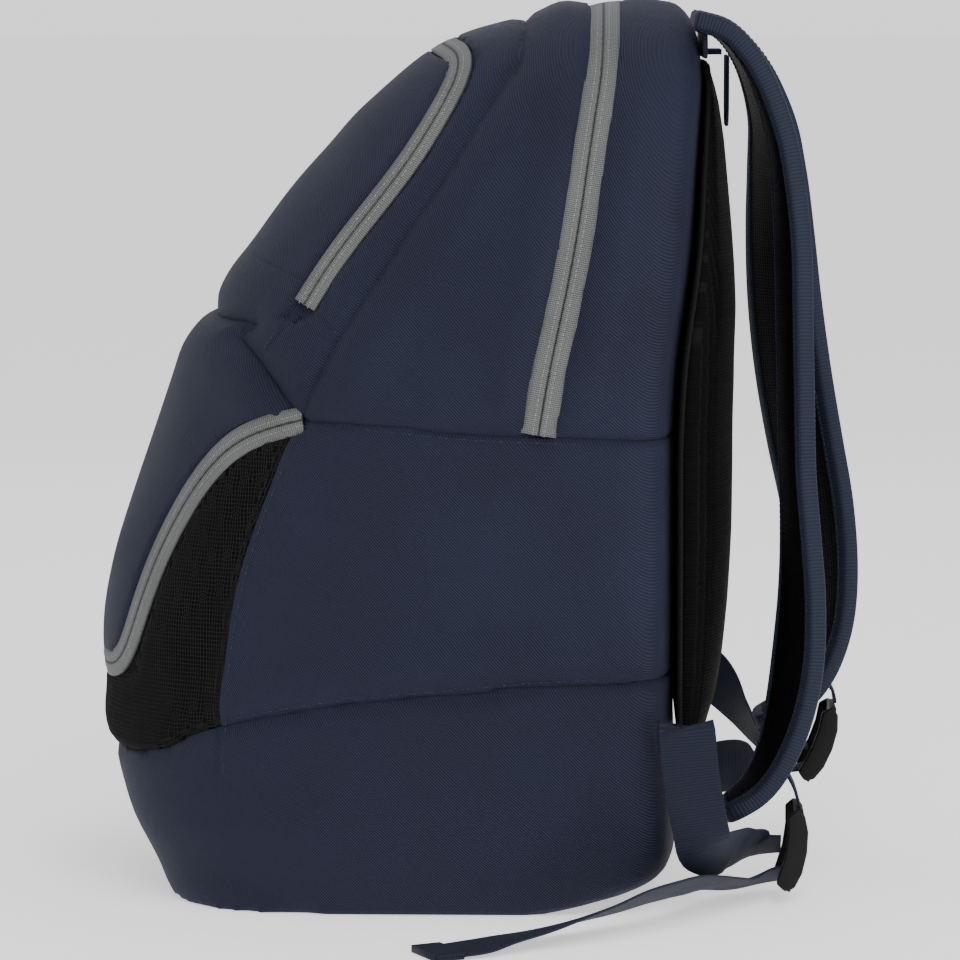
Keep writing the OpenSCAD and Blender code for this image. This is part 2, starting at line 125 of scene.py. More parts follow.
# ---------------------------------------------------------------- materials
class Nodes:
    """Short names for building a material's nodes."""

    def __init__(self, name):
        self.material = bpy.data.materials.new(name)
        self.material.use_nodes = True
        self.tree = self.material.node_tree
        self.shader = self.tree.nodes["Principled BSDF"]

    def new(self, kind, **inputs):
        node = self.tree.nodes.new(kind)
        for key, value in inputs.items():
            node.inputs[key.replace("_", " ")].default_value = value
        return node

    def link(self, source, target):
        self.tree.links.new(source, target)
        return source

    def place(self, attribute=None):
        if attribute:
            node = self.new("ShaderNodeAttribute")
            node.attribute_name = attribute
            return node.outputs["Vector"]
        return self.new("ShaderNodeTexCoord").outputs["Object"]

    def math(self, operation, a, b=0.0, c=0.0):
        node = self.tree.nodes.new("ShaderNodeMath")
        node.operation = operation
        for socket, value in zip(node.inputs, (a, b, c)):
            if isinstance(value, (int, float)):
                socket.default_value = value
            else:
                self.link(value, socket)
        return node.outputs[0]

    def times(self, a, b):
        return self.math("MULTIPLY", a, b)

    def plus(self, a, b):
        return self.math("ADD", a, b)

    def wave(self, value):
        return self.math("SINE", value)

    def dot(self, vector, direction):
        node = self.tree.nodes.new("ShaderNodeVectorMath")
        node.operation = "DOT_PRODUCT"
        self.link(vector, node.inputs[0])
        node.inputs[1].default_value = direction
        return node.outputs["Value"]

    def facing(self, direction, most):
        """Falls from most to 0 where the surface looks along a direction."""
        normal = self.new("ShaderNodeNewGeometry").outputs["Normal"]
        along = self.dot(normal, direction)
        return self.times(self.math("SUBTRACT", 1.0, self.times(along, along)), most)

    def noise(self, vector, scale, detail=2.0, roughness=0.5):
        node = self.new("ShaderNodeTexNoise", Scale=scale, Detail=detail, Roughness=roughness)
        self.link(vector, node.inputs["Vector"])
        return node.outputs["Fac"]

    def ramp(self, value, stops):
        node = self.tree.nodes.new("ShaderNodeValToRGB")
        node.color_ramp.elements[0].position = stops[0][0]
        node.color_ramp.elements[0].color = (*stops[0][1], 1)
        node.color_ramp.elements[1].position = stops[-1][0]
        node.color_ramp.elements[1].color = (*stops[-1][1], 1)
        for place, colour in stops[1:-1]:
            node.color_ramp.elements.new(place).color = (*colour, 1)
        self.link(value, node.inputs["Fac"])
        return node.outputs["Color"]

    def bump(self, height, depth, strength=1.0, base=None):
        node = self.new("ShaderNodeBump", Strength=strength, Distance=depth)
        self.link(height, node.inputs["Height"])
        if base is not None:
            self.link(base, node.inputs["Normal"])
        return node.outputs["Normal"]

    def finish(self, colour=None, normal=None, roughness=0.7, sheen=0.0, sheen_tint=(1, 1, 1), specular=0.5):
        if colour is not None:
            self.link(colour, self.shader.inputs["Base Color"])
        if normal is not None:
            self.link(normal, self.shader.inputs["Normal"])
        if isinstance(roughness, (int, float)):
            self.shader.inputs["Roughness"].default_value = roughness
        else:
            self.link(roughness, self.shader.inputs["Roughness"])
        self.shader.inputs["Sheen Weight"].default_value = sheen
        self.shader.inputs["Sheen Roughness"].default_value = 0.4
        self.shader.inputs["Sheen Tint"].default_value = (*sheen_tint, 1)
        self.shader.inputs["Specular IOR Level"].default_value = specular
        return self.material


def twill_material(name, dark, light, pitch=1.5 * MM, sheen=0.05):
    """Polyester twill: diagonal ribs crossed by fine yarns, with soft blotches."""
    n = Nodes(name)
    p = n.place()
    turn = 2 * math.pi / pitch
    wobble = n.times(n.noise(p, 120, 3), 4.0)
    ribs = n.wave(n.plus(n.times(n.dot(p, (0.75, 0.85, 0.85)), turn), wobble))
    yarns = n.wave(n.times(n.dot(p, (0.8, 0.8, -0.9)), turn * 1.6))
    weave = n.plus(n.times(ribs, n.facing((0.53, 0.6, 0.6), 0.75)),
                   n.times(yarns, n.facing((0.55, 0.55, -0.62), 0.4)))
    fine = n.noise(p, 1400, 2, 0.7)
    blotch = n.noise(p, 14, 3)
    tone = n.plus(n.plus(weave, n.times(fine, 0.75)), n.times(blotch, 0.55))
    colour = n.ramp(n.times(n.plus(tone, 0.1), 0.62), [(0.12, dark), (0.9, light)])
    creases = n.noise(p, 26, 4, 0.55)
    height = n.plus(weave, n.times(fine, 0.5))
    normal = n.bump(height, 0.28 * MM, 0.9, n.bump(creases, 1.6 * MM, 0.6))
    rough = n.plus(0.55, n.times(blotch, 0.2))
    return n.finish(colour, normal, rough, sheen, (0.62, 0.68, 0.9), 0.16)


def ribbed_material(name, dark, light, pitch, across=0.55 * MM, sheen=0.05):
    """Woven webbing or tape: ribs across its length and a fine herringbone, from the path attribute."""
    n = Nodes(name)
    p = n.place("path")
    along, side = n.dot(p, (1, 0, 0)), n.dot(p, (0, 1, 0))
    turn = 2 * math.pi
    zigzag = n.times(n.wave(n.times(side, turn / (across * 4))), 0.9)
    ribs = n.wave(n.plus(n.times(along, turn / pitch), zigzag))
    yarns = n.wave(n.times(side, turn / across))
    fine = n.noise(n.place(), 1500, 2, 0.7)
    blotch = n.noise(n.place(), 25, 2)
    weave = n.plus(n.times(ribs, 0.4), n.times(yarns, 0.22))
    tone = n.plus(weave, n.plus(n.times(fine, 0.5), n.times(blotch, 0.4)))
    colour = n.ramp(n.times(n.plus(tone, 0.25), 0.6), [(0.0, dark), (1.0, light)])
    return n.finish(colour, n.bump(weave, 0.3 * MM, 0.9), 0.62, sheen, (0.6, 0.66, 0.85), 0.15)


def spacer_material(name, dark, light):
    """Warp-knit spacer mesh: rows of small oval holes with yarn between them; the colour has a painted
    highlight on the yarn crests and painted shade in the holes.
    """
    n = Nodes(name)
    p = n.place("cloth")
    cells = n.new("ShaderNodeTexVoronoi", Scale=1.0)
    cells.feature = "DISTANCE_TO_EDGE"
    stretch = n.new("ShaderNodeVectorMath")
    stretch.operation = "MULTIPLY"
    n.link(p, stretch.inputs[0])
    stretch.inputs[1].default_value = (560, 400, 0)
    n.link(stretch.outputs[0], cells.inputs["Vector"])
    cells.inputs["Randomness"].default_value = 0.25
    edge = n.times(cells.outputs["Distance"], 2.4)
    yarn = n.math("SUBTRACT", 1.0, edge)
    fine = n.noise(n.place(), 1300, 2, 0.7)
    tone = n.times(yarn, n.plus(0.35, fine))
    # painted highlight and shade: the colour rises with the yarn height of the bump, near black in the holes
    # and on the yarn sides, brightest on the crests
    colour = n.ramp(tone, [(0.1, (0.002, 0.002, 0.002)), (0.5, dark), (1.0, light)])
    return n.finish(colour, n.bump(yarn, 0.9 * MM, 0.9), 0.6, 0.0, (0.8, 0.75, 0.7), 0.06)


def plastic_material(name, colour, roughness=0.42):
    n = Nodes(name)
    p = n.place()
    grain = n.noise(p, 900, 3, 0.6)
    smudge = n.noise(p, 60, 3)
    low = tuple(c * 0.75 for c in colour)
    shade = n.ramp(smudge, [(0.3, low), (0.75, colour)])
    return n.finish(shade, n.bump(grain, 0.06 * MM, 0.5), n.plus(roughness, n.times(smudge, 0.2)),
                    specular=0.2)


def metal_material(name, colour):
    n = Nodes(name)
    p = n.place()
    wear = n.noise(p, 240, 4, 0.7)
    shade = n.ramp(wear, [(0.4, colour), (0.72, tuple(min(1, c * 2.2) for c in colour))])
    n.shader.inputs["Metallic"].default_value = 0.85
    return n.finish(shade, n.bump(wear, 0.05 * MM, 0.4), n.plus(0.28, n.times(wear, 0.25)))


NAVY_DARK, NAVY_LIGHT = (0.0016, 0.0023, 0.007), (0.027, 0.032, 0.066)
NAVY = twill_material("navy_twill", NAVY_DARK, NAVY_LIGHT)
WEBBING = ribbed_material("navy_webbing", (0.005, 0.007, 0.014), (0.022, 0.027, 0.052), 1.6 * MM)
BINDING = ribbed_material("navy_binding", (0.006, 0.009, 0.018), (0.022, 0.027, 0.05), 1.9 * MM, 0.9 * MM)
TAPE = ribbed_material("zip_tape", (0.03, 0.032, 0.032), (0.26, 0.268, 0.264), 1.1 * MM, 0.9 * MM, 0.1)
COIL = plastic_material("zip_coil", (0.07, 0.075, 0.075), 0.35)
THREAD = ribbed_material("navy_thread", (0.01, 0.013, 0.024), (0.05, 0.06, 0.095), 0.6 * MM)
GREY_THREAD = ribbed_material("grey_thread", (0.16, 0.165, 0.16), (0.36, 0.37, 0.36), 0.6 * MM)
SPACER = spacer_material("spacer_mesh", (0.0014, 0.0012, 0.0012), (0.009, 0.008, 0.0078))
NET = plastic_material("net_yarn", (0.016, 0.015, 0.015), 0.6)
# near-black twill: the back pad's piping is black; on the sheet under the net the same black is painted
# shade, standing in for the dark inside of the pocket behind the mesh
BLACK_PIPING_AND_NET_SHADE = twill_material("black_piping_and_net_shade", (0.001, 0.001, 0.001), (0.003, 0.003, 0.003), 1.2 * MM, 0.0)
LINING = twill_material("grey_lining", (0.05, 0.052, 0.056), (0.13, 0.134, 0.14), 1.1 * MM, 0.1)
BOARD = plastic_material("board", (0.03, 0.03, 0.032), 0.6)
BUCKLE = plastic_material("buckle_plastic", (0.005, 0.0044, 0.0044), 0.45)
ENAMEL = metal_material("slider_enamel", (0.03, 0.031, 0.034))


# ---------------------------------------------------------------- mesh helpers
def link(mesh, name):
    piece = bpy.data.objects.new(name, mesh)
    bpy.context.collection.objects.link(piece)
    return piece


def make_piece(name, points, faces, materials, attributes=None, face_slots=None, smooth=True):
    mesh = bpy.data.meshes.new(name)
    mesh.from_pydata([tuple(p) for p in points], [], faces)
    for material in materials:
        mesh.materials.append(material)
    if face_slots is not None:
        mesh.polygons.foreach_set("material_index", face_slots)
    for key, values in (attributes or {}).items():
        layer = mesh.attributes.new(key, "FLOAT_VECTOR", "POINT")
        layer.data.foreach_set("vector", np.asarray(values, np.float32).ravel())
    if smooth:
        mesh.shade_smooth()
    mesh.update()
    return link(mesh, name)


def catmull(points, steps):
    """Smooth curve through points, with steps places in each stretch."""
    pts = np.asarray(points, float)
    out = []
    for i in range(len(pts) - 1):
        a, b, c, d = (pts[max(0, i - 1)], pts[i], pts[i + 1], pts[min(len(pts) - 1, i + 2)])
        for k in range(steps):
            t = k / steps
            out.append(b + 0.5 * t * (c - a + t * (2 * a - 5 * b + 4 * c - d + t * (3 * b - a - 3 * c + d))))
    out.append(pts[-1])
    return np.array(out)


def resample(points, step):
    """The same line with even spacing; columns after the third are carried along."""
    pts = np.asarray(points, float)
    gaps = np.linalg.norm(np.diff(pts[:, :3], axis=0), axis=1)
    run = np.concatenate([[0], np.cumsum(gaps)])
    count = max(2, int(round(run[-1] / step)) + 1)
    at = np.linspace(0, run[-1], count)
    return np.stack([np.interp(at, run, pts[:, i]) for i in range(pts.shape[1])], 1), at


def smooth_line(points, passes):
    """Evens out a line between its fixed ends."""
    pts = np.asarray(points, float).copy()
    for _ in range(passes):
        pts[1:-1] = (pts[:-2] + 2 * pts[1:-1] + pts[2:]) / 4
    return pts


def units(v):
    return v / np.maximum(np.linalg.norm(v, axis=-1, keepdims=True), 1e-12)


def closed_tube(rows, count):
    """Faces of a tube of rings with flat ends."""
    faces = []
    for j in range(rows - 1):
        for i in range(count):
            k = (i + 1) % count
            faces.append((j * count + i, j * count + k, (j + 1) * count + k, (j + 1) * count + i))
    return faces + [tuple(range(count))[::-1], tuple((rows - 1) * count + i for i in range(count))]


def apply_modifiers(piece):
    """Replaces a piece's mesh with the one that its modifiers make."""
    mesh = bpy.data.meshes.new_from_object(piece.evaluated_get(bpy.context.evaluated_depsgraph_get()))
    piece.modifiers.clear()
    old = piece.data
    piece.data = mesh
    bpy.data.meshes.remove(old)


def settle(piece, body, slot, *nodes):
    """Gives a piece its body and hides the nodes that it replaces; the slot is not used."""
    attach(piece, body)
    if nodes:
        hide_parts(*nodes)


# ---------------------------------------------------------------- the bag's form
# Side outline: height, front, back, in millimetres
OUTLINE = np.array([
    (0, -170, 50), (4, -172, 66), (9, -174, 84), (16, -177, 99), (25, -182, 106), (45, -193, 108),
    (75, -203, 107), (105, -209, 106), (130, -211, 106), (160, -208, 106), (200, -197, 106),
    (250, -180, 106), (290, -167, 108), (315, -152, 111), (345, -132, 115), (370, -114, 117),
    (390, -98, 118), (405, -84, 119), (422, -70, 120), (440, -51, 121), (452, -37, 120),
    (462, -22, 119), (470, -2, 117), (476, 20, 114), (481, 45, 110), (485, 66, 104)], float)
FINE_OUTLINE = catmull(OUTLINE, 6)
TOP_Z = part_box("upper_rear_shell")[1].z / MM
HALF_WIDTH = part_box("lower_side_shell")[1].x / MM
ARCH_START, ARCH_TOP, ARCH_POWER = 275, TOP_Z + 2, 2.5
BACK_POWER, WIDEST_FROM_BACK = 5.0, 45.0
FRONT_LEVELS, FRONT_POWERS = [0, 20, 110], [4.6, 4.2, 2.7]


def back_at(z):
    """How far back the bag's fabric reaches at a height."""
    return np.interp(z, FINE_OUTLINE[:, 0], FINE_OUTLINE[:, 2])


def half_width(z):
    """Half the bag's width at a height: straight sides that narrow a little at the foot, then an arch."""
    if z < ARCH_START:
        return HALF_WIDTH * np.interp(z, [0, 45, 90], [0.93, 0.985, 1])
    rise = (z - ARCH_START) / (ARCH_TOP - ARCH_START)
    return HALF_WIDTH * max(0.0, 1 - rise ** ARCH_POWER) ** (1 / ARCH_POWER)


def ring_size(z, y):
    """A level's widest place, and its reach and roundness towards the front or back, whichever y is on."""
    front = np.interp(z, FINE_OUTLINE[:, 0], FINE_OUTLINE[:, 1])
    back = back_at(z)
    wide = back - np.minimum(WIDEST_FROM_BACK, (back - front) / 2)
    rear = y > wide
    front_power = np.interp(z, FRONT_LEVELS, FRONT_POWERS)
    return wide, np.where(rear, back - wide, wide - front), np.where(rear, BACK_POWER, front_power)


def ring_at(z, turn):
    """Places round one level of the bag at these angles."""
    c, s = np.cos(turn), np.sin(turn)
    wide, reach, power = ring_size(np.full(len(turn), z), np.where(s > 0, 1e3, -1e3))
    x = half_width(z) * np.sign(c) * np.abs(c) ** (2 / power)
    y = wide + reach * np.sign(s) * np.abs(s) ** (2 / power)
    return np.stack([x, y, np.full(len(turn), z)], 1)


def ring(z, count):
    return ring_at(z, (np.arange(count) + 0.5) / count * 2 * math.pi)


def closed_form():
    """The stuffed bag as one closed mesh, before it is simulated."""
    levels = FINE_OUTLINE[:, 0]
    count = 160
    rings = [ring(z, count) for z in levels]
    return make_piece("form", np.concatenate(rings) * MM, closed_tube(len(rings), count), [])


# Seam and zip lines in side view, in millimetres: Y, Z
LINES = {
    "base": [(-400, 66), (-200, 78), (-150, 95), (-110, 106), (-60, 115), (0, 121), (60, 126), (400, 136)],
    "side": [(-94, 264), (-40, 262), (30, 257), (400, 247)],
    "crease": [(-94, 264), (-113, 289), (-130, 307), (-144, 317), (-400, 319)],
    "main": [(31, 240), (38, 287), (46, 323), (54, 365), (60, 407), (64, 433), (67, 459), (67, 560)],
    "upper": [(-122, 284), (-110, 301), (-95, 318), (-80, 344), (-66, 363), (-50, 383), (-34, 404),
              (-21, 425), (-11, 443), (-9, 456), (-22, 462), (-60, 480)],
    "lower": [(-290, 121), (-203, 123), (-193, 131), (-184, 157), (-176, 180), (-165, 204), (-151, 227),
              (-135, 246), (-119, 256), (-94, 264)],
    "net": [(-138, 60), (-136, 120), (-129, 170), (-116, 212), (-94, 264)],
    "shoulder": [(-94, 264), (-77, 301), (-40, 360), (-19, 391), (-3, 417), (13, 441), (23, 459), (22, 520)],
    "hinge": [(-260, 397.3), (-130, 350.6), (-60, 325.5), (10, 300.3)],
}
SMOOTH_LINES = {key: catmull(points, 6) for key, points in LINES.items()}


def line_distance(key, yz):
    """Signed distance in millimetres from a side-view line; positive to the right of its direction."""
    line = SMOOTH_LINES[key]
    a, b = line[:-1], line[1:]
    best = np.full(len(yz), 1e9)
    sign = np.ones(len(yz))
    for p, q in zip(a, b):
        d = q - p
        t = np.clip(((yz - p) @ d) / (d @ d), 0, 1)
        gap = yz - (p + t[:, None] * d)
        dist = np.hypot(gap[:, 0], gap[:, 1])
        nearer = dist < best
        best = np.where(nearer, dist, best)
        cross = d[1] * (yz[:, 0] - p[0]) - d[0] * (yz[:, 1] - p[1])
        sign = np.where(nearer, np.where(cross >= 0, 1.0, -1.0), sign)
    return best * sign


# ---------------------------------------------------------------- cloth simulation
PIN_REACH = 5.0
BULGE_CAP = 9 * MM
SKIN_VOXEL = 4.6 * MM


def near_seams(points):
    """True where the fabric is held by a seam, a zip, the flat back or the base board."""
    mm = points / MM
    yz = mm[:, 1:3]
    y, z = yz[:, 0], yz[:, 1]
    held = np.abs(line_distance("base", yz)) < PIN_REACH
    held |= (np.abs(line_distance("side", yz)) < PIN_REACH) & (y > -96)
    held |= (np.abs(line_distance("crease", yz)) < PIN_REACH) & (y < -90)
    held |= (np.abs(line_distance("main", yz)) < PIN_REACH + 3) & (z > 250)
    held |= (np.abs(line_distance("upper", yz)) < PIN_REACH + 2) & (z > 315)
    held |= (np.abs(line_distance("lower", yz)) < PIN_REACH + 2) & (z < 266)
    held |= (np.abs(line_distance("net", yz)) < PIN_REACH) & (z > 80) & (z < 266)
    held |= (np.abs(line_distance("shoulder", yz)) < 2.5) & (z > 262)
    back = back_at(z)
    held |= y > back - 5
    held |= z < 12
    return held


def simulate(piece, held, pressure=4.0, frames=20, cap=BULGE_CAP, stiffness=12.0):
    """Inflates a closed mesh with Cloth where it isn't held, caps the movement and returns the rest places
    and the capped shift.
    """
    rest = np.empty(len(piece.data.vertices) * 3)
    piece.data.vertices.foreach_get("co", rest)
    rest = rest.reshape(-1, 3)
    group = piece.vertex_groups.new(name="held")
    group.add([int(i) for i in np.nonzero(held)[0]], 1.0, "REPLACE")
    cloth = piece.modifiers.new("cloth", "CLOTH")
    settings = cloth.settings
    settings.quality = 5
    settings.mass = 0.25
    settings.tension_stiffness = stiffness
    settings.compression_stiffness = stiffness
    settings.shear_stiffness = stiffness * 0.6
    settings.bending_stiffness = 0.6
    settings.use_pressure = True
    settings.uniform_pressure_force = pressure
    settings.effector_weights.gravity = 0
    settings.vertex_group_mass = "held"
    cloth.collision_settings.use_collision = False
    scene = bpy.context.scene
    cloth.point_cache.frame_start, cloth.point_cache.frame_end = 1, frames
    for number in range(1, frames + 1):
        scene.frame_set(number)
    depsgraph = bpy.context.evaluated_depsgraph_get()
    moved = np.empty_like(rest).ravel()
    piece.evaluated_get(depsgraph).data.vertices.foreach_get("co", moved)
    moved = moved.reshape(-1, 3)
    piece.modifiers.remove(cloth)
    scene.frame_set(1)
    shift = np.nan_to_num(moved - rest)
    length = np.linalg.norm(shift, axis=1, keepdims=True)
    shift *= np.minimum(1, cap / np.maximum(length, 1e-9))
    return rest, shift


def remesh(piece, voxel):
    modifier = piece.modifiers.new("remesh", "REMESH")
    modifier.mode = "VOXEL"
    modifier.voxel_size = voxel
    modifier.use_smooth_shade = True
    apply_modifiers(piece)


def relax(piece, points, passes, fixed=None):
    """Laplacian smoothing of point rows on a mesh's own edges."""
    edges = np.empty(len(piece.data.edges) * 2, np.int64)
    piece.data.edges.foreach_get("vertices", edges)
    a, b = edges.reshape(-1, 2).T
    count = np.bincount(np.concatenate([a, b]), minlength=len(points)).astype(float)[:, None]
    out = points.copy()
    for _ in range(passes):
        total = np.zeros_like(out)
        np.add.at(total, a, out[b])
        np.add.at(total, b, out[a])
        mean = total / np.maximum(count, 1)
        step = (mean - out) * 0.5
        if fixed is not None:
            step[fixed] = 0
        out += step
    return out


def vertex_normals(piece):
    normals = np.empty(len(piece.data.vertices) * 3)
    piece.data.vertices.foreach_get("normal", normals)
    return normals.reshape(-1, 3)


def smooth_step(v):
    t = np.clip(v, 0, 1)
    return t * t * (3 - 2 * t)


def groove(distance, width):
    """1 on a line, falling smoothly to 0 at width from it."""
    return np.exp(-(distance / width) ** 2 * 2.5)


def fold_relief(rest):
    """Depth in millimetres of the sewn folds and dents, along the outward normal."""
    mm = rest / MM
    yz = mm[:, 1:3]
    y, z = yz.T
    depth = np.zeros(len(mm))
    base = line_distance("base", yz)
    # the body sags over the base seam and the base is tucked under it
    depth += 2.6 * np.exp(-((-base - 14) / 14) ** 2) * (base < 0) * smooth_step((106 - y) / 20)
    depth -= 2.5 * groove(base, 7)
    crease = line_distance("crease", yz)
    at_crease = smooth_step((-80 - y) / 14)
    depth -= 4.5 * groove(crease, 9) * at_crease
    depth += 1.5 * np.exp(-((np.abs(crease) - 20) / 12) ** 2) * at_crease
    side = line_distance("side", yz)
    depth -= 1.6 * groove(side, 5) * (y > -94) * smooth_step((112 - y) / 12)
    shoulder = line_distance("shoulder", yz)
    above = smooth_step((z - 262) / 20)
    depth -= 2.6 * groove(shoulder, 6) * above
    depth += 2.2 * np.exp(-((shoulder - 18) / 12) ** 2) * above
    main = line_distance("main", yz)
    depth -= 1.5 * groove(main, 11) * (z > 250)
    depth += 2.0 * np.exp(-((np.abs(main) - 20) / 10) ** 2) * smooth_step((z - 262) / 30)
    upper = line_distance("upper", yz)
    depth -= 1.2 * groove(upper, 9) * (z > 316)
    lower = line_distance("lower", yz)
    depth -= 1.2 * groove(lower, 9) * (z < 262)
    net = line_distance("net", yz)
    inside_net = smooth_step(-net / 12) * smooth_step(lower / 8) * smooth_step(-base / 10)
    depth -= 1.0 * inside_net * smooth_step((z - 90) / 30)
    return depth


def soft_wrinkles(rest):
    """Low wandering folds of stuffed fabric, in millimetres."""
    out = np.zeros(len(rest))
    for i, p in enumerate(rest):
        q = Vector(p)
        broad = noise.noise(q * 9.0 + Vector((3.1, 7.7, 1.3)))
        ridges = noise.noise(Vector((q.x * 14, q.y * 22 + q.z * 10, q.z * 17 - q.y * 9)) + Vector((9, 2, 5)))
        out[i] = 1.5 * broad + 0.9 * ridges * abs(ridges) * 2
    return out


def build_skin():
    form = closed_form()
    remesh(form, SKIN_VOXEL)
    rest = np.array([v.co for v in form.data.vertices])
    rest = relax(form, rest, 2)
    rest[:, 2] = np.maximum(rest[:, 2], 0)
    form.data.vertices.foreach_set("co", rest.ravel())
    form.data.update()
    rest, shift = simulate(form, near_seams(rest))
    shift = relax(form, shift, 4)
    normals = vertex_normals(form)
    mm = rest / MM
    flat = smooth_step((mm[:, 2] - 2) / 12)
    back = back_at(mm[:, 2])
    free = smooth_step((back - 3 - mm[:, 1]) / 10)
    relief = fold_relief(rest) + soft_wrinkles(rest)
    place = rest + shift + normals * (relief * flat * free)[:, None] * MM
    place[:, 2] = np.maximum(place[:, 2], 0.0002)
    return form, rest, place


skin, skin_rest, skin_place = build_skin()


# ---------------------------------------------------------------- cutting the skin into its panels
class Cutter:
    """The skin with its rest places, so that it can be cut exactly along side-view lines."""

    def __init__(self, piece, rest, place):
        self.bm = bmesh.new()
        self.bm.from_mesh(piece.data)
        self.bm.verts.ensure_lookup_table()
        self.layer = self.bm.verts.layers.float_vector.new("rest")
        for vertex, r, p in zip(self.bm.verts, rest, place):
            vertex[self.layer] = Vector(r)
            vertex.co = Vector(p)

    def rest(self):
        return np.array([v[self.layer] for v in self.bm.verts])

    def cut(self, key, level, region):
        """Adds an edge loop where the distance from a line is level, within a region of the side view."""
        bm, layer = self.bm, self.layer
        bm.verts.index_update()
        bm.verts.ensure_lookup_table()
        rest = self.rest() / MM
        value = line_distance(key, rest[:, 1:3]) - level
        value[np.abs(value) < 0.2] = 0
        inside = region(rest[:, 1], rest[:, 2])
        crossing = []
        for edge in bm.edges:
            a, b = edge.verts[0].index, edge.verts[1].index
            if value[a] * value[b] < 0 and inside[a] and inside[b]:
                crossing.append((edge, edge.verts[0], value[a] / (value[a] - value[b])))
        on_line = {bm.verts[int(i)]: True for i in np.nonzero((value == 0) & inside)[0]}
        for edge, start, share in crossing:
            other = edge.other_vert(start)
            r = start[layer].lerp(other[layer], share)
            _, fresh = bmesh.utils.edge_split(edge, start, share)
            fresh[layer] = r
            on_line[fresh] = True
        for face in {f: True for v in on_line for f in v.link_faces}:
            ends = [v for v in face.verts if v in on_line]
            if len(ends) == 2 and not any(e.other_vert(ends[0]) == ends[1] for e in ends[0].link_edges
                                          if face in e.link_faces):
                bmesh.utils.face_split(face, ends[0], ends[1])
        return on_line

    def chain(self, on_line):
        """The on-line vertices in order, longest run first."""
        left, runs = dict(on_line), []
        while left:
            start = next((v for v in left if sum(e.other_vert(v) in left for e in v.link_edges) <= 1), None)
            start = start or next(iter(left))
            run, here = [start], start
            left.pop(start)
            while True:
                following = [e.other_vert(here) for e in here.link_edges if e.other_vert(here) in left]
                if not following:
                    break
                here = min(following, key=lambda v: (v.co - here.co).length)
                left.pop(here)
                run.append(here)
            runs.append(run)
        runs.sort(key=len, reverse=True)
        return runs


def above_side(y, z):
    return z > np.interp(y, *SMOOTH_LINES["side"].T) - 1.0


MAIN_HALF, POCKET_HALF = 8.5, 6.5
REGIONS = {
    "base": lambda y, z: (z > 50) & (z < 150),
    "crease": lambda y, z: y < -93,
    "side": lambda y, z: (y > -95) & (z > 220),
    "net": lambda y, z: (z > 74) & (z < 266),
    "main": above_side,
    "upper": lambda y, z: (z > 285) & (line_distance("crease", np.stack([y, z], 1)) > -0.5),
    "lower": lambda y, z: (z > 100) & (z < 266) & (y < -92),
    "shoulder": lambda y, z: z > 262,
    "hinge": lambda y, z: (z > 300) & (y < -70),
}
HALF_WIDTHS = {"main": MAIN_HALF, "upper": POCKET_HALF, "lower": POCKET_HALF}
cutter = Cutter(skin, skin_rest, skin_place)
chains = {}
cut_order = ["base", "crease", "side", "net", "main", "upper", "lower", "shoulder", "hinge"]
for key in cut_order:
    found = cutter.cut(key, 0, REGIONS[key])
    levels = [-HALF_WIDTHS[key], HALF_WIDTHS[key]] if key in HALF_WIDTHS else [-3, -1.3, 1.3, 3]
    for level in levels if key != "hinge" else []:
        chains[key, level] = cutter.cut(key, level, REGIONS[key])
    chains[key, 0] = found


# Heights in mm: the crease bounds the lower panels below the first; the upper cover is above the second
CREASE_TOP, UPPER_COVER_FOOT = 325, 284


def panel_names(yz):
    """The panel that each place of the side view belongs to."""
    y, z = yz.T
    d = {key: line_distance(key, yz) for key in ("base", "crease", "side", "net", "main", "upper", "lower")}
    front = y < -94
    below = np.where(front, (d["crease"] < 0) & (z < CREASE_TOP), d["side"] > 0)
    upper = np.where((d["upper"] < 0) & (z > UPPER_COVER_FOOT), "upper_cover", "front")
    names = np.where(below, np.where(front & (d["lower"] < 0), "lower_cover",
                                     np.where(d["net"] < 0, "net", "side")),
                     np.where(d["main"] > 0, "rear", upper))
    return np.where(d["base"] > 0, "base", names)


# narrow seam valleys at the cut lines
cutter.bm.normal_update()
rest_mm = cutter.rest() / MM
valley = np.zeros(len(rest_mm))
for key in ("base", "crease", "side", "net", "shoulder"):
    inside = REGIONS[key](rest_mm[:, 1], rest_mm[:, 2])
    d = np.abs(line_distance(key, rest_mm[:, 1:3]))
    deepest = 0.8 if key == "net" else 1.6
    valley = np.maximum(valley, np.where(inside, np.interp(d, [0, 1.3, 3], [deepest, 0.5, 0]), 0))
for key, half in HALF_WIDTHS.items():
    inside = REGIONS[key](rest_mm[:, 1], rest_mm[:, 2]) & ((key != "upper") | (rest_mm[:, 2] > 316))
    d = np.abs(line_distance(key, rest_mm[:, 1:3]))
    valley = np.maximum(valley, np.where(inside, np.interp(d, [half - 0.6, half + 0.4], [2.4, 0]), 0))
for vertex, depth in zip(cutter.bm.verts, valley):
    vertex.co -= vertex.normal * float(depth) * MM
cutter.bm.normal_update()


def take_path(key, level=0, step=2.0 * MM, passes=24, ends=None):
    """Ordered places and normals along a cut line, evenly spaced and smoothed."""
    run = cutter.chain(chains[key, level])[0]
    points = np.array([v.co for v in run])
    normals = np.array([v.normal for v in run])
    rest = np.array([v[cutter.layer] for v in run]) / MM
    if ends is not None:
        keep = ends(rest[:, 1], rest[:, 2])
        first, last = np.nonzero(keep)[0][[0, -1]]
        points, normals, rest = points[first:last + 1], normals[first:last + 1], rest[first:last + 1]
    joined, _ = resample(np.concatenate([smooth_line(points, passes), normals, rest], 1), step)
    smooth_normals = units(smooth_line(joined[:, 3:6], 60))
    return smooth_line(joined[:, :3], passes), smooth_normals, joined[:, 6:9]


UPPER_ZIP_END = 323
paths = {
    "main": take_path("main"),
    "upper": take_path("upper", ends=lambda y, z: z > UPPER_ZIP_END),
    "lower": take_path("lower"),
}


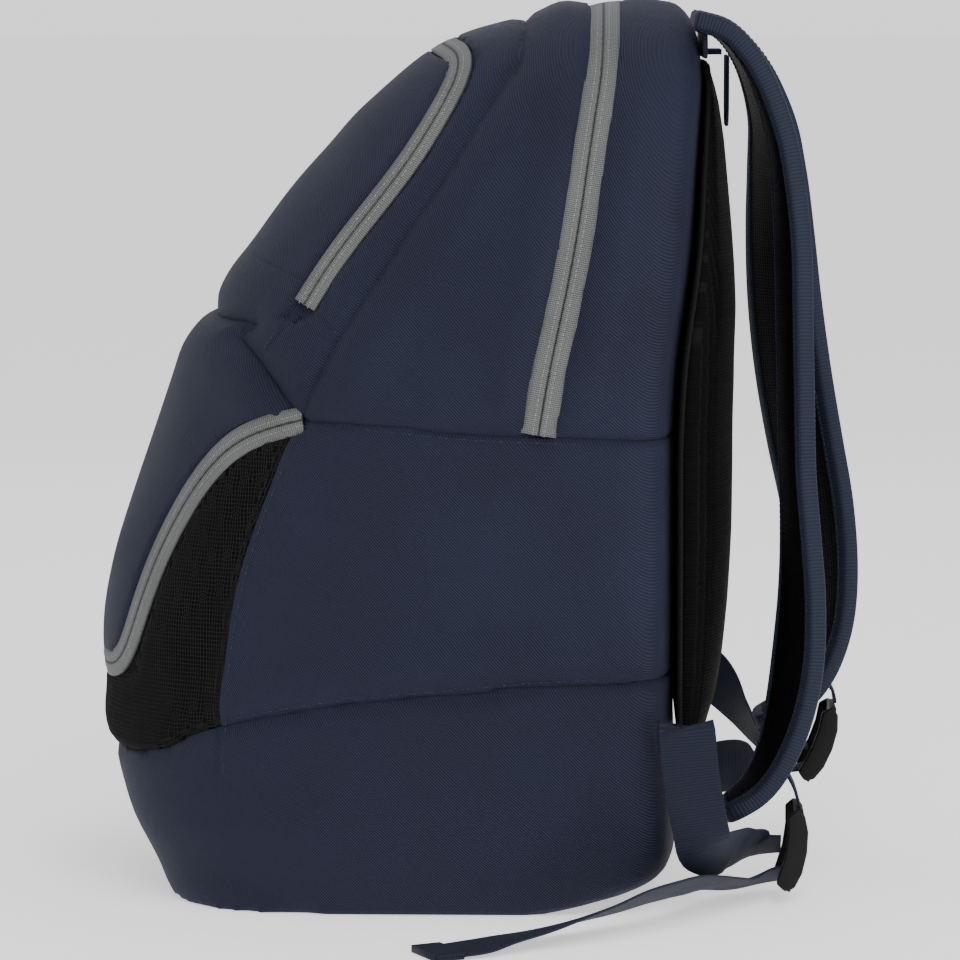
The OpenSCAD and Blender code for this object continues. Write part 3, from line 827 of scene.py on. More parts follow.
def split_panels():
    """One open sheet for each panel, from the cut skin."""
    bm = cutter.bm
    bm.faces.ensure_lookup_table()
    bm.verts.index_update()
    middles = [sum((v[cutter.layer] for v in f.verts), Vector()) / len(f.verts) for f in bm.faces]
    centres = np.array(middles) / MM
    names = panel_names(centres[:, 1:3])
    sheets = {}
    for name in sorted(set(names)):
        chosen = [bm.faces[int(i)] for i in np.nonzero(names == name)[0]]
        order, points, rest, normals, faces = {}, [], [], [], []
        for face in chosen:
            for v in face.verts:
                if v not in order:
                    order[v] = len(points)
                    points.append(tuple(v.co))
                    rest.append(tuple(v[cutter.layer]))
                    normals.append(tuple(v.normal))
            faces.append([order[v] for v in face.verts])
        sheets[name] = (np.array(points), faces, np.array(rest), np.array(normals))
    return sheets


sheets = split_panels()
CLOTH_THICKNESS = 1.8 * MM


def thick_sheet(name, sheet, material, lift=0.0, thickness=CLOTH_THICKNESS):
    """A closed layer of fabric: the sheet outside, its copy inside and a rim."""
    points, faces, _, normals = sheet
    outer = points + normals * lift
    inner = outer - normals * thickness
    count = len(points)
    edges = {}
    for face in faces:
        for a, b in zip(face, face[1:] + face[:1]):
            edges[(a, b)] = True
    rim = [(b, a, a + count, b + count) for a, b in edges if (b, a) not in edges]
    all_faces = faces + [[i + count for i in face[::-1]] for face in faces] + rim
    return make_piece(name, np.concatenate([outer, inner]), all_faces, [material])


FLAP_LOW, FLAP_HIGH = 250.0, 285.0
# The upper pocket panel, the part that opens, is split off above this flap value
POCKET_FOOT = FLAP_HIGH + 1
FLAP_NORMAL = np.array([0.338, 0.941])


def blend_flap(piece):
    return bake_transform(piece)


def blend_upper_pocket(piece):
    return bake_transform(piece)


def blend_lower_pocket(piece):
    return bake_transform(piece)


def split_sheet(sheet, keep_face):
    """The faces of a sheet whose centre passes a test on rest places in millimetres, as a new sheet."""
    points, faces, rest, normals = sheet
    chosen = [f for f in faces if keep_face(rest[f].mean(0) / MM)]
    used = sorted({i for f in chosen for i in f})
    new = {old: i for i, old in enumerate(used)}
    return points[used], [[new[i] for i in f] for f in chosen], rest[used], normals[used]


def flap_value(rest_mm):
    return FLAP_NORMAL @ rest_mm[1:3]


for name, node in (("base", "base_tub"), ("side", "lower_side_shell"), ("rear", "upper_rear_shell")):
    settle(thick_sheet(f"{name}_cloth", sheets[name], NAVY), "bag", "navy_fabric", node)
front_cloth = thick_sheet("front_cloth", sheets["front"], NAVY)
blend_flap(front_cloth)
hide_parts("upper_front_shell", "flap_side_folds")
foot_sheet = split_sheet(sheets["upper_cover"], lambda r: flap_value(r) < POCKET_FOOT)
pocket_foot = thick_sheet("upper_pocket_foot", foot_sheet, NAVY)
blend_flap(pocket_foot)
panel_sheet = split_sheet(sheets["upper_cover"], lambda r: flap_value(r) >= POCKET_FOOT)
pocket_panel = thick_sheet("upper_pocket_panel", panel_sheet, NAVY)
blend_upper_pocket(pocket_panel)
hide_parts("upper_pocket_cover")
lower_cover = thick_sheet("lower_pocket_panel", sheets["lower_cover"], NAVY)
blend_lower_pocket(lower_cover)
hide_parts("lower_pocket_cover")
# painted shade: a near-black sheet under the net stands in for the shade inside the pocket seen through the
# mesh
net_shade_sheet = thick_sheet("net_shade_sheet", sheets["net"], BLACK_PIPING_AND_NET_SHADE, lift=-1.2 * MM, thickness=0.8 * MM)
settle(net_shade_sheet, "bag", "net_mesh", "mesh_gusset")
bpy.data.objects.remove(skin)


# ---------------------------------------------------------------- zips
def side_vectors(points, normals):
    tangents = units(np.gradient(points, axis=0))
    return tangents, units(np.cross(normals, tangents))


def profile_sweep(name, points, normals, outline, materials, start=0.0):
    """Sweeps a closed outline of (sideways, outward) places along a path, with flat ends."""
    tangents, sideways = side_vectors(points, normals)
    outward = units(np.cross(tangents, sideways))
    section = np.asarray(outline, float)
    across, up = section[None, :, :1], section[None, :, 1:]
    rows = points[:, None] + across * sideways[:, None] + up * outward[:, None]
    n = len(section)
    run = np.concatenate([[0], np.cumsum(np.linalg.norm(np.diff(points, axis=0), axis=1))]) + start
    path = np.column_stack([np.repeat(run, n), np.tile(section, (len(points), 1))])
    return make_piece(name, rows.reshape(-1, 3), closed_tube(len(points), n), materials, {"path": path})


def bead_row(name, points, normals, offset, lift, step, size, material, skew=0.0):
    """A row of small rounded beads along a path, such as stitches or teeth; size is (along, across, up)."""
    tangents, sideways = side_vectors(points, normals)
    joined, at = resample(np.concatenate([points, normals, sideways, tangents], 1), step)
    centres, outs = joined[:, :3], units(joined[:, 3:6])
    sides, alongs = units(joined[:, 6:9]), units(joined[:, 9:12])
    a, b, c = size
    shape = [(-0.5, 0, 0)]
    for x in (-0.3, 0.3):
        shape += [(x, 0.5, 0), (x, 0.3, 0.8), (x, -0.3, 0.8), (x, -0.5, 0), (x, 0, -0.4)]
    shape.append((0.5, 0, 0))
    faces = [(0, 1 + (i + 1) % 5, 1 + i) for i in range(5)]
    faces += [(1 + i, 1 + (i + 1) % 5, 6 + (i + 1) % 5, 6 + i) for i in range(5)]
    faces += [(11, 6 + i, 6 + (i + 1) % 5) for i in range(5)]
    all_points, all_faces = [], []
    for m in range(len(centres)):
        base = len(all_points)
        centre = centres[m] + sides[m] * offset + outs[m] * lift
        for x, y, z in shape:
            place = centre + alongs[m] * (x * a) + sides[m] * (y * b + x * a * skew) + outs[m] * (z * c)
            all_points.append(place)
        all_faces += [tuple(base + i for i in face) for face in faces]
    path = np.repeat(np.stack([at, np.zeros_like(at), np.zeros_like(at)], 1), len(shape), 0)
    return make_piece(name, all_points, all_faces, [material], {"path": path})


def tape_outline(inner, outer, side):
    """Section of one zip tape: flat cloth whose inner edge rolls down into the slit."""
    places = [(outer, 0.0), (outer, 0.7), (outer * 0.62 + inner * 0.38, 0.95), (inner + 1.7, 1.25),
              (inner + 0.9, 1.3), (inner + 0.25, 0.95), (inner, 0.35), (inner, -0.6), (outer, -1.6)]
    return [(side * x * MM, y * MM) for x, y in places][::side]


def build_zip(name, path, half, sides, lift=2.5 * MM):
    """Two tapes, their stitches, and the coil between them. sides gives each side's way to join its body."""
    points, normals, _ = path
    points = points + normals * lift
    pieces = {}
    for side, join in sides.items():
        label = "inner" if side > 0 else "outer"
        outline = tape_outline(0.25, half + 0.8, side)
        tape = profile_sweep(f"{name}_tape_{label}", points, normals, outline, [TAPE])
        coil = bead_row(f"{name}_coil_{label}", points, normals, side * 0.45 * MM, 0.55 * MM, 1.35 * MM,
                        (0.8 * MM, 1.9 * MM, 0.8 * MM), COIL, skew=0.25 * side)
        seam = bead_row(f"{name}_stitch_{label}", points, normals, side * 3.1 * MM, 1.12 * MM, 2.6 * MM,
                        (2.0 * MM, 0.45 * MM, 0.28 * MM), GREY_THREAD)
        for piece in (tape, coil, seam):
            join(piece)
        pieces[label] = tape
    return pieces


def ride_bag(piece):
    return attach(piece, "bag")


def oriented(path):
    """The path turned so that it starts on the +X side."""
    points, normals, rest = path
    if points[0][0] < points[-1][0]:
        return points[::-1].copy(), normals[::-1].copy(), rest[::-1].copy()
    return path


def outward_side(path):
    """+1 if positive sideways points rearwards or downwards where the path starts."""
    points, normals, _ = path
    _, sideways = side_vectors(points, normals)
    probe = sideways[len(points) // 8]
    return 1 if probe[1] > 0 else -1


for key in paths:
    paths[key] = oriented(paths[key])
main_sign = outward_side(paths["main"])
zip_main = build_zip("main_zip", paths["main"], MAIN_HALF, {main_sign: ride_bag, -main_sign: blend_flap})
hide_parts("main_zip_rear")
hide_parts("main_zip_front")
upper_sign = outward_side(paths["upper"])


def part_of_path(path, keep):
    points, normals, rest = path
    chosen = keep(rest)
    first, last = np.nonzero(chosen)[0][[0, -1]]
    return points[first:last + 1], normals[first:last + 1], rest[first:last + 1]


upper_run = part_of_path(paths["upper"], lambda rest: rest[:, 1:3] @ FLAP_NORMAL > POCKET_FOOT)
foot_length = int(np.nonzero(paths["upper"][2][:, 1:3] @ FLAP_NORMAL > POCKET_FOOT)[0][0])
for number, part in enumerate((slice(0, foot_length + 1), slice(-foot_length - 1, None))):
    foot_run = [column[part] for column in paths["upper"]]
    build_zip(f"upper_zip_foot_{number}", foot_run, POCKET_HALF, {-upper_sign: blend_flap})
zip_upper_in = build_zip("upper_zip", paths["upper"], POCKET_HALF, {upper_sign: blend_flap})
zip_upper_out = build_zip("upper_zip_cover", upper_run, POCKET_HALF, {-upper_sign: blend_upper_pocket})
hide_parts("upper_zip_inner")
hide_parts("upper_zip_outer")
lower_sign = outward_side(paths["lower"])
zip_lower = build_zip("lower_zip", paths["lower"], POCKET_HALF,
                      {lower_sign: ride_bag, -lower_sign: blend_lower_pocket})
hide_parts("lower_zip_inner")
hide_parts("lower_zip_outer")


# ---------------------------------------------------------------- the net over a near-black sheet of painted shade
def wire_net(name, sheet, lift, thickness):
    """A knotted net from the edges of a sheet, divided once."""
    points, faces, _, normals = sheet
    bm = bmesh.new()
    verts = [bm.verts.new(p) for p in points + normals * lift]
    for face in faces:
        bm.faces.new([verts[i] for i in face])
    bmesh.ops.subdivide_edges(bm, edges=bm.edges[:], cuts=1, use_grid_fill=True)
    mesh = bpy.data.meshes.new(name)
    bm.to_mesh(mesh)
    bm.free()
    piece = link(mesh, name)
    wire = piece.modifiers.new("wire", "WIREFRAME")
    wire.thickness = thickness
    wire.use_even_offset = False
    wire.use_boundary = True
    apply_modifiers(piece)
    piece.data.materials.append(NET)
    return piece


net = wire_net("net_gusset", sheets["net"], -0.5 * MM, 0.6 * MM)
settle(net, "bag", "net_mesh")


# ---------------------------------------------------------------- seams
def seam_stitches(key, level, name, join):
    """A row of stitches beside a seam line, level millimetres from it."""
    points, normals, _ = take_path(key, level)
    row = bead_row(name, points, normals, 0, 0.25 * MM, 3.2 * MM, (2.5 * MM, 0.5 * MM, 0.35 * MM), THREAD)
    join(row)


seam_stitches("base", -3, "base_seam_stitches", ride_bag)
seam_stitches("side", 3, "side_seam_stitches", ride_bag)
seam_stitches("net", 3, "net_seam_stitches", ride_bag)


def panel_stitches(name, cloths, start, end, join):
    """A straight row of stitches on each side of the bag, from start to end in side view."""
    trees = [BVHTree.FromPolygons([v.co for v in cloth.data.vertices],
                                  [tuple(f.vertices) for f in cloth.data.polygons])
             for cloth in cloths]
    for label, sign in (("left", -1), ("right", 1)):
        places, normals = [], []
        for share in np.linspace(0, 1, 14):
            y, z = (1 - share) * np.array(start) + share * np.array(end)
            beside, inward = Vector((sign * 0.3, y * MM, z * MM)), Vector((-sign, 0, 0))
            hits = [tree.ray_cast(beside, inward) for tree in trees]
            place, normal, _, _ = min((hit for hit in hits if hit[0] is not None), key=lambda hit: hit[3])
            places.append(place)
            normals.append(normal)
        row = bead_row(f"{name}_{label}", np.array(places), np.array(normals), 0, 0.3 * MM, 3.0 * MM,
                       (2.3 * MM, 0.5 * MM, 0.4 * MM), THREAD)
        join(row)


panel_stitches("zip_end_stitches", (front_cloth, pocket_foot), (-86, 322), (-72, 309), blend_flap)
panel_stitches("zip_foot_stitches", (front_cloth, pocket_foot), (-101, 317), (-112, 302), blend_flap)


# ---------------------------------------------------------------- bands: straps and webbing
def band_frame(route, across, step=3.0):
    """Places, tangents, across and outward directions of a band, from rows of numbers in millimetres."""
    places = catmull(route, 8)
    sides = catmull(across, 8)
    joined, at = resample(np.concatenate([places, sides], 1), step)
    places = joined[:, :3]
    tangents = units(np.gradient(places, axis=0))
    sides = joined[:, 3:6]
    sides = units(sides - (sides * tangents).sum(1, keepdims=True) * tangents)
    return places * MM, tangents, sides, np.cross(tangents, sides), at * MM


def band_piece(name, frame_rows, widths, outline, materials, slot_of=None):
    """Sweeps an outline of (share of half-width, millimetres outward) along a band."""
    places, _, sides, outs, at = frame_rows
    n = len(outline)
    shares = np.array([o[0] for o in outline])
    lifts = np.array([o[1] for o in outline]) * MM
    half = np.asarray(widths)[:, None] / 2 * MM
    across = shares[None] * half
    rows = places[:, None] + across[..., None] * sides[:, None] + lifts[None, :, None] * outs[:, None]
    slots = [slot_of(i) if slot_of else 0 for i in range(n)] * (len(places) - 1) + [0, 0]
    values = np.stack([np.repeat(at, n), across.ravel(), np.tile(lifts, len(places))], 1)
    return make_piece(name, rows.reshape(-1, 3), closed_tube(len(places), n), materials,
                      {"path": values, "cloth": values}, slots)


STRAP_RIGHT = [(61, 119, 474, 0), (63, 135, 468, 0), (67, 150, 448, 2), (72, 161, 418, 4),
               (76, 166, 390, 6), (78, 169, 355, 8), (80, 170, 315, 8), (81, 171, 275, 8),
               (82, 172, 235, 8), (82, 174, 200, 10), (82, 175, 165, 14), (82, 173, 130, 18),
               (82, 168, 100, 18), (82, 160, 75, 14), (82, 150, 59, 10), (82, 138, 50, 6)]
STRAP_LEFT = [(-61, 119, 474, 0), (-63, 136, 468, 4), (-67, 152, 448, 10), (-72, 163, 418, 16),
              (-76, 166, 390, 22), (-78, 168, 355, 28), (-80, 171, 315, 32), (-81, 176, 275, 34),
              (-82, 183, 235, 34), (-82, 190, 200, 32), (-82, 195, 165, 28), (-82, 196, 135, 24),
              (-82, 192, 110, 20), (-82, 185, 92, 14), (-82, 174, 80, 10), (-82, 162, 74, 6)]
STRAP_WIDTHS = [46, 52, 58, 62, 64, 64, 64, 64, 64, 64, 62, 58, 52, 46, 42, 38]
PAD_SHARES = [-1, -0.93, -0.8, -0.6, -0.3, 0, 0.3, 0.6, 0.8, 0.93, 1]


def pad_lift(share, high):
    return high * (0.55 + 0.45 * (1 - abs(share) ** 3))


def build_strap(side, rows):
    rows = np.array(rows, float)
    leans = np.radians(rows[:, 3])
    across = np.stack([np.cos(leans), np.sin(leans), 0 * leans], 1)
    rings = band_frame(rows[:, :3], across)
    places = rings[0]
    fine = catmull(np.stack([np.array(STRAP_WIDTHS, float)] * 3, 1), 8)[:, 0]
    gaps = np.linalg.norm(np.diff(catmull(rows[:, :3], 8), axis=0), axis=1)
    run = np.concatenate([[0], np.cumsum(gaps)])
    widths = np.interp(np.linspace(0, run[-1], len(places)), run, fine) - 1.5
    outline = [(u, -pad_lift(u, 5.6)) for u in PAD_SHARES]
    outline += [(u, pad_lift(u, 6.3)) for u in PAD_SHARES[::-1]]
    count = len(PAD_SHARES)
    strap = band_piece(f"strap_pad_{side}", rings, widths, outline, [NAVY, SPACER],
                       lambda i: 1 if count <= i < 2 * count - 1 else 0)
    body = f"strap_{side}"
    settle(strap, body, "strap_foam")
    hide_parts(body)
    add_binding(side, rings, widths, body)
    return strap


def add_binding(side, rings, widths, body):
    """Ribbed binding down one edge, round the lower end and up the other, with stitches on each face."""
    places, tangents, sides, outs, _ = rings
    half = (widths / 2 - 2.6)[:, None] * MM
    first, second = places + sides * half, (places - sides * half)[::-1]
    end, down, over, wide = places[-1], tangents[-1], sides[-1], half[-1]
    bend = [end + over * wide * math.cos(a) ** 0.5 + down * 3.5 * MM * math.sin(a)
            for a in np.radians([20, 45, 70, 85])]
    bend += [end - over * wide * math.cos(a) ** 0.5 + down * 3.5 * MM * math.sin(a)
             for a in np.radians([85, 70, 45, 20])]
    path = np.concatenate([first, bend, second])
    outward = np.concatenate([outs, [outs[-1]] * 8, outs[::-1]])
    joined, _ = resample(np.concatenate([path, outward], 1), 3.0 * MM)
    path, outward = smooth_line(joined[:, :3], 3), units(smooth_line(joined[:, 3:6], 3))
    outline = [(-3.8, -3.4), (-2.6, -4.5), (0, -4.9), (3.4, -5.4), (4.2, -5.0), (4.2, 5.2), (3.4, 5.6),
               (0, 5.1), (-2.6, 4.7), (-3.8, 3.4)]
    outline = np.array(outline) * MM
    inward = np.cross(outward, units(np.gradient(path, axis=0)))
    towards = (places[len(places) // 2] - path[len(path) // 4]) @ inward[len(path) // 4]
    if towards < 0:
        outline = (outline * [-1, 1])[::-1]
    binding = profile_sweep(f"strap_binding_{side}", path, outward, outline, [BINDING])
    sign = 1 if towards > 0 else -1
    settle(binding, body, "webbing")
    for label, lift in (("mesh", 5.45), ("outer", -5.25)):
        facing = outward if lift > 0 else -outward
        offset = sign * 2.2 * (1 if lift > 0 else -1) * MM
        row = bead_row(f"strap_stitches_{label}_{side}", path, facing, offset, abs(lift) * MM, 3.0 * MM,
                       (2.3 * MM, 0.6 * MM, 0.4 * MM), THREAD)
        settle(row, body, "webbing")


build_strap("right", STRAP_RIGHT)
build_strap("left", STRAP_LEFT)

LOOP_RIGHT = [(151.6, 110, 96), (151.8, 110.3, 102), (153.2, 111, 105.6), (155.2, 112, 102),
              (155.6, 114, 80), (155, 117, 62), (152, 120, 47), (145, 122, 38), (134, 127, 34),
              (121, 132, 31.5), (108, 137, 30), (96, 142, 29), (83.5, 152, 29), (82, 164.5, 29.5)]
LOOP_RIGHT_ACROSS = [(0, 1, 0), (0, 1, 0), (0, 1, 0), (0, 1, 0), (0, 1, 0), (0.1, 1, 0.1), (0.2, 0.9, 0.4),
                     (0.3, 0.7, 0.7), (0.35, 0.5, 0.85), (0.45, 0.35, 0.85), (0.6, 0.2, 0.75),
                     (0.75, 0.1, 0.6), (0.85, 0, 0.5), (0.88, 0, 0.45)]
LOOP_LEFT = [(-154, 101, 108), (-155, 112, 101), (-150, 124, 94), (-141, 135, 86), (-130, 144, 77),
             (-118, 151, 68), (-106, 157, 62), (-95, 164, 58.5), (-83.5, 174, 56.5), (-82, 185.8, 57)]
LOOP_LEFT_ACROSS = [(0, 0.5, 1), (0, 0.4, 1), (0, 0.3, 1), (0.1, 0.2, 1), (0.3, 0.1, 0.9), (0.55, 0, 0.75),
                    (0.75, 0, 0.55), (0.9, 0, 0.35), (1, 0, 0.15), (1, 0, 0.05)]
TAIL_RIGHT = [(82, 164.6, 13.5), (84, 155, 11.8), (92, 145, 10.5), (104, 137, 11.5), (118, 130, 14),
              (132, 121, 16), (147, 111, 18), (162, 99, 18), (176, 84, 16), (190, 68, 13), (202, 51, 10),
              (213, 34, 7), (223, 17, 5), (231, 4, 3), (238, -9, 2.3)]
TAIL_RIGHT_ACROSS = [(0.9, 0, 0.42), (0.9, 0.1, 0.4), (0.85, 0.3, 0.35), (0.8, 0.5, 0.3), (0.75, 0.5, 0.32),
                     (0.7, 0.5, 0.42), (0.7, 0.5, 0.5), (0.7, 0.5, 0.5), (0.7, 0.5, 0.5), (0.8, 0.5, 0.4),
                     (0.8, 0.5, 0.3), (0.9, 0.5, 0.2), (0.9, 0.5, 0.1), (0.9, 0.5, 0), (0.88, 0.47, 0)]
TAIL_LEFT = [(-82, 183, 44.5), (-83.5, 172, 42), (-91, 161, 41.5), (-102, 152, 41), (-115, 144, 39.5),
             (-128, 136, 36), (-141, 126, 30.5), (-152, 113, 24), (-161, 99, 17), (-168, 84, 11),
             (-173, 70, 6), (-175, 55, 3), (-176, 41, 2.3)]
TAIL_LEFT_ACROSS = [(1, 0.05, 0.05), (1, 0.2, 0.2), (0.8, 0.3, 0.5), (0.6, 0.3, 0.75), (0.4, 0.3, 0.85),
                    (0.3, 0.2, 0.9), (0.25, 0.1, 0.9), (0.4, 0, 0.8), (0.6, 0, 0.6), (0.85, 0, 0.35),
                    (1, 0, 0.15), (1, 0, 0), (1, 0.05, 0)]
WEBBING_OUTLINE = [(-1, -0.35), (-0.94, -0.8), (0, -0.9), (0.94, -0.8), (1, -0.35), (1, 0.35), (0.94, 0.8),
                   (0, 0.9), (-0.94, 0.8), (-1, 0.35)]


def webbing_piece(name, route, across, node, width=30):
    rings = band_frame(np.array(route, float), np.array(across, float))
    piece = band_piece(name, rings, np.full(len(rings[0]), width), WEBBING_OUTLINE, [WEBBING])
    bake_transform(piece)
    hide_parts(node)
    return piece, rings


def add_tail(side, route, across, hem_place, hem_turn):
    tail, rings = webbing_piece(f"tail_{side}", route, across, f"webbing_tail_{side}")
    hem = fold_block(f"hem_{side}", hem_place, hem_turn)
    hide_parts(f"tail_hem_{side}")


def fold_block(name, place, turn):
    """A folded and stitched webbing end: three soft layers."""
    a = math.radians(turn)
    cross_dir, along = np.array([math.cos(a), math.sin(a), 0]), np.array([math.sin(a), -math.cos(a), 0])
    middle = np.array(place, float)
    route = [middle - along * 8, middle, middle + along * 8]
    rings = band_frame(np.array(route), np.array([cross_dir] * 3), 2.0)
    outline = [(-1, -1.2), (-0.96, -1.9), (0.96, -1.9), (1, -1.2), (1, -0.3), (0.97, 0), (1, 0.3), (1, 1.3),
               (0.96, 1.9), (-0.96, 1.9), (-1, 1.3), (-1, 0.3), (-0.97, 0), (-1, -0.3)]
    piece = band_piece(name, rings, np.full(len(rings[0]), 29.5), outline, [WEBBING])
    settle(piece, "bag", "webbing")
    return piece


webbing_piece("loop_right", LOOP_RIGHT, LOOP_RIGHT_ACROSS, "webbing_loop_right")
webbing_piece("loop_left", LOOP_LEFT, LOOP_LEFT_ACROSS, "webbing_loop_left")
add_tail("right", TAIL_RIGHT, TAIL_RIGHT_ACROSS, (241.9, -16.2, 2.3), 28)
add_tail("left", TAIL_LEFT, TAIL_LEFT_ACROSS, (-176.5, 32.8, 2.3), -4)
for side, rows, place in (("right", [(82, 168, 68), (82, 171.5, 61), (82, 173.8, 52.4)], 1),
                          ("left", [(-82, 197.4, 94), (-82, 200.4, 89), (-82, 201.4, 83.4)], -1)):
    rings = band_frame(np.array(rows, float), np.array([(1.0, 0, 0)] * 3), 2.0)
    tab = band_piece(f"buckle_tab_{side}", rings, np.full(len(rings[0]), 26), WEBBING_OUTLINE, [WEBBING])
    settle(tab, f"strap_{side}", "webbing", f"strap_tab_{side}")
for number, x in enumerate((149.6, -149.6)):
    rings = band_frame(np.array([(x, 109, 90), (x, 109, 96), (x, 109.5, 102.0)]),
                       np.array([(0, 1.0, 0)] * 3), 2.0)
    anchor = band_piece(f"corner_tab_{number}", rings, np.full(len(rings[0]), 28), WEBBING_OUTLINE, [WEBBING])
    settle(anchor, "bag", "webbing")
    if number == 0:
        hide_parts("webbing_anchors")


# ---------------------------------------------------------------- buckles
def round_edges(piece, width, segments):
    bevel = piece.modifiers.new("bevel", "BEVEL")
    bevel.width, bevel.segments, bevel.limit_method = width, segments, "ANGLE"
    apply_modifiers(piece)


def build_buckle(side, place, tilt):
    """A curved ladder-lock frame with two slots and a round bar."""
    step, half_x, half_v = 1.5, 21.0, 22.5
    us = np.arange(-half_x, half_x + 0.1, step)
    vs = np.arange(-half_v, half_v + 0.1, step)
    points, index = [], {}
    for i, u in enumerate(us):
        for j, v in enumerate(vs):
            index[i, j] = len(points)
            round_in = 1 - 0.16 * abs(v / half_v) ** 5
            points.append((u * round_in, 1.2 - 3.2 * (v / half_v) ** 2 + 1.0, v))
    faces = []
    for i in range(len(us) - 1):
        for j in range(len(vs) - 1):
            u, v = us[i] + step / 2, vs[j] + step / 2
            in_slot = abs(u) < 16.6 and (5.5 < v < 16.6 or -18.0 < v < 2.0)
            if not in_slot:
                faces.append([index[i, j], index[i + 1, j], index[i + 1, j + 1], index[i, j + 1]])
    used = sorted({i for f in faces for i in f})
    new = {old: i for i, old in enumerate(used)}
    faces = [[new[i] for i in f] for f in faces]
    points = np.array(points)[used]
    normals = units(np.stack([0 * points[:, 0], np.ones(len(points)), 6.4 * points[:, 2] / half_v ** 2], 1))
    a = math.radians(tilt)
    turn = np.array([[1, 0, 0], [0, math.cos(a), -math.sin(a)], [0, math.sin(a), math.cos(a)]])
    placed = (points @ turn.T + place) * MM
    sheet = (placed, [f[::-1] for f in faces], placed, -(normals @ turn.T))
    frame_piece = thick_sheet(f"ladder_lock_{side}", sheet, BUCKLE, lift=1.9 * MM, thickness=4.0 * MM)
    round_edges(frame_piece, 0.5 * MM, 2)
    cheek = np.array([(-6, -19), (-1, -22.5), (4, -20), (7, -11.5), (8, 0), (7, 11.5), (4, 20), (-1, 22.5),
                      (-5, 18), (-3.5, 8), (-3.5, -4)], float)
    cheeks = []
    for label, low, high in (("a", 16.8, 21.2), ("b", -21.2, -16.8)):
        count = len(cheek)
        rows = [np.array([x, y - 1.0, v]) @ turn.T + place for x in (low, high) for y, v in cheek]
        walls = [(i, (i + 1) % count, count + (i + 1) % count, count + i) for i in range(count)]
        walls += [tuple(range(count))[::-1], tuple(range(count, 2 * count))]
        side_wall = make_piece(f"ladder_cheek_{side}_{label}", np.array(rows) * MM, walls, [BUCKLE])
        round_edges(side_wall, 1.2 * MM, 3)
        cheeks.append(side_wall)
    turns = np.linspace(0, 2 * math.pi, 17)[:-1]
    ends = [np.array([x, 0.2, -8.0]) for x in (-17.5, 17.5)]
    round_spots = [[0, 2.1 * math.cos(t), 2.1 * math.sin(t)] for t in turns]
    bar_points = [(e + spot) @ turn.T + place for e in ends for spot in round_spots]
    bar_faces = [(i, (i + 1) % 16, 16 + (i + 1) % 16, 16 + i) for i in range(16)]
    bar_faces += [tuple(range(16))[::-1], tuple(range(16, 32))]
    bar = make_piece(f"ladder_bar_{side}", np.array(bar_points) * MM, [f[::-1] for f in bar_faces], [BUCKLE])
    for piece in (frame_piece, bar, *cheeks):
        settle(piece, f"buckle_{side}", "buckle_plastic")
    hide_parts(f"buckle_{side}")


build_buckle("right", np.array([82, 171, 29.0]), -8)
build_buckle("left", np.array([-82, 193, 60.0]), -20)


# ---------------------------------------------------------------- padded back
PAD_LEVELS = [98, 112, 130, 160, 200, 240, 280, 320, 350, 380, 410, 430, 443, 452]
PAD_OUT = [19, 24, 27, 30, 32, 32, 31, 28, 22, 17, 13, 9, 5, 3]


def build_back_pad():
    """The mesh-covered foam back, inflated between its sewn edge and its middle channel."""
    levels = np.unique(np.concatenate([np.arange(98, 452, 4.0), [452.0]]))
    shares = np.linspace(-1, 1, 49)
    points, cloth = [], []
    for z in levels:
        wide = min(half_width(z), half_width(z + 10)) - 22
        back = back_at(z) + 0.6
        deep = np.interp(z, PAD_LEVELS, PAD_OUT)
        for share in shares:
            out = deep * (0.3 + 0.66 * math.sqrt(max(0, 1 - share ** 4)))
            out -= 3.0 * math.exp(-(share * wide / 9) ** 2) * min(1, deep / 20)
            points.append((share * wide, back + out, z))
        for share in shares[::-1]:
            points.append((share * wide, back, z))
    n = 2 * len(shares)
    faces = []
    for j in range(len(levels) - 1):
        for i in range(n):
            k = (i + 1) % n
            faces.append((j * n + k, j * n + i, (j + 1) * n + i, (j + 1) * n + k))
    faces.append(tuple(range(n)))
    faces.append(tuple((len(levels) - 1) * n + i for i in range(n))[::-1])
    points = np.array(points, float)
    cloth = np.stack([points[:, 2], points[:, 0], 0 * points[:, 0]], 1) * MM
    pad = make_piece("mesh_back", points * MM, faces, [SPACER], {"cloth": cloth})
    share = np.tile(np.concatenate([np.abs(shares), np.full(len(shares), 1.0)]), len(levels))
    held = (share > 0.95) | (points[:, 2] < 104) | (points[:, 2] > 446) | (np.abs(points[:, 0]) < 5)
    rest, shift = simulate(pad, held, pressure=3.0, frames=14, cap=1.2 * MM)
    shift = relax(pad, shift, 3)
    pad.data.vertices.foreach_set("co", (rest + shift).ravel())
    pad.data.update()
    settle(pad, "bag", "spacer_mesh")
    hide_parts("back_pad")
    rim = []
    for z in levels[::2]:
        wide = min(half_width(z), half_width(z + 10)) - 21
        rim.append((wide, back_at(z) + 2.6, z))
    rim = np.array(rim, float)
    whole = np.concatenate([rim, (rim * [-1, 1, 1])[::-1], rim[:1]]) * MM
    joined, _ = resample(whole, 3.0 * MM)
    line = smooth_line(joined, 4)
    turns = np.linspace(0, 2 * math.pi, 11)[:-1]
    outline = np.stack([np.cos(turns), np.sin(turns)], 1) * 1.5 * MM
    piping = profile_sweep("back_piping", line, np.tile([0.0, 1.0, 0.0], (len(line), 1)), outline, [BLACK_PIPING_AND_NET_SHADE])
    settle(piping, "bag", "webbing")


build_back_pad()


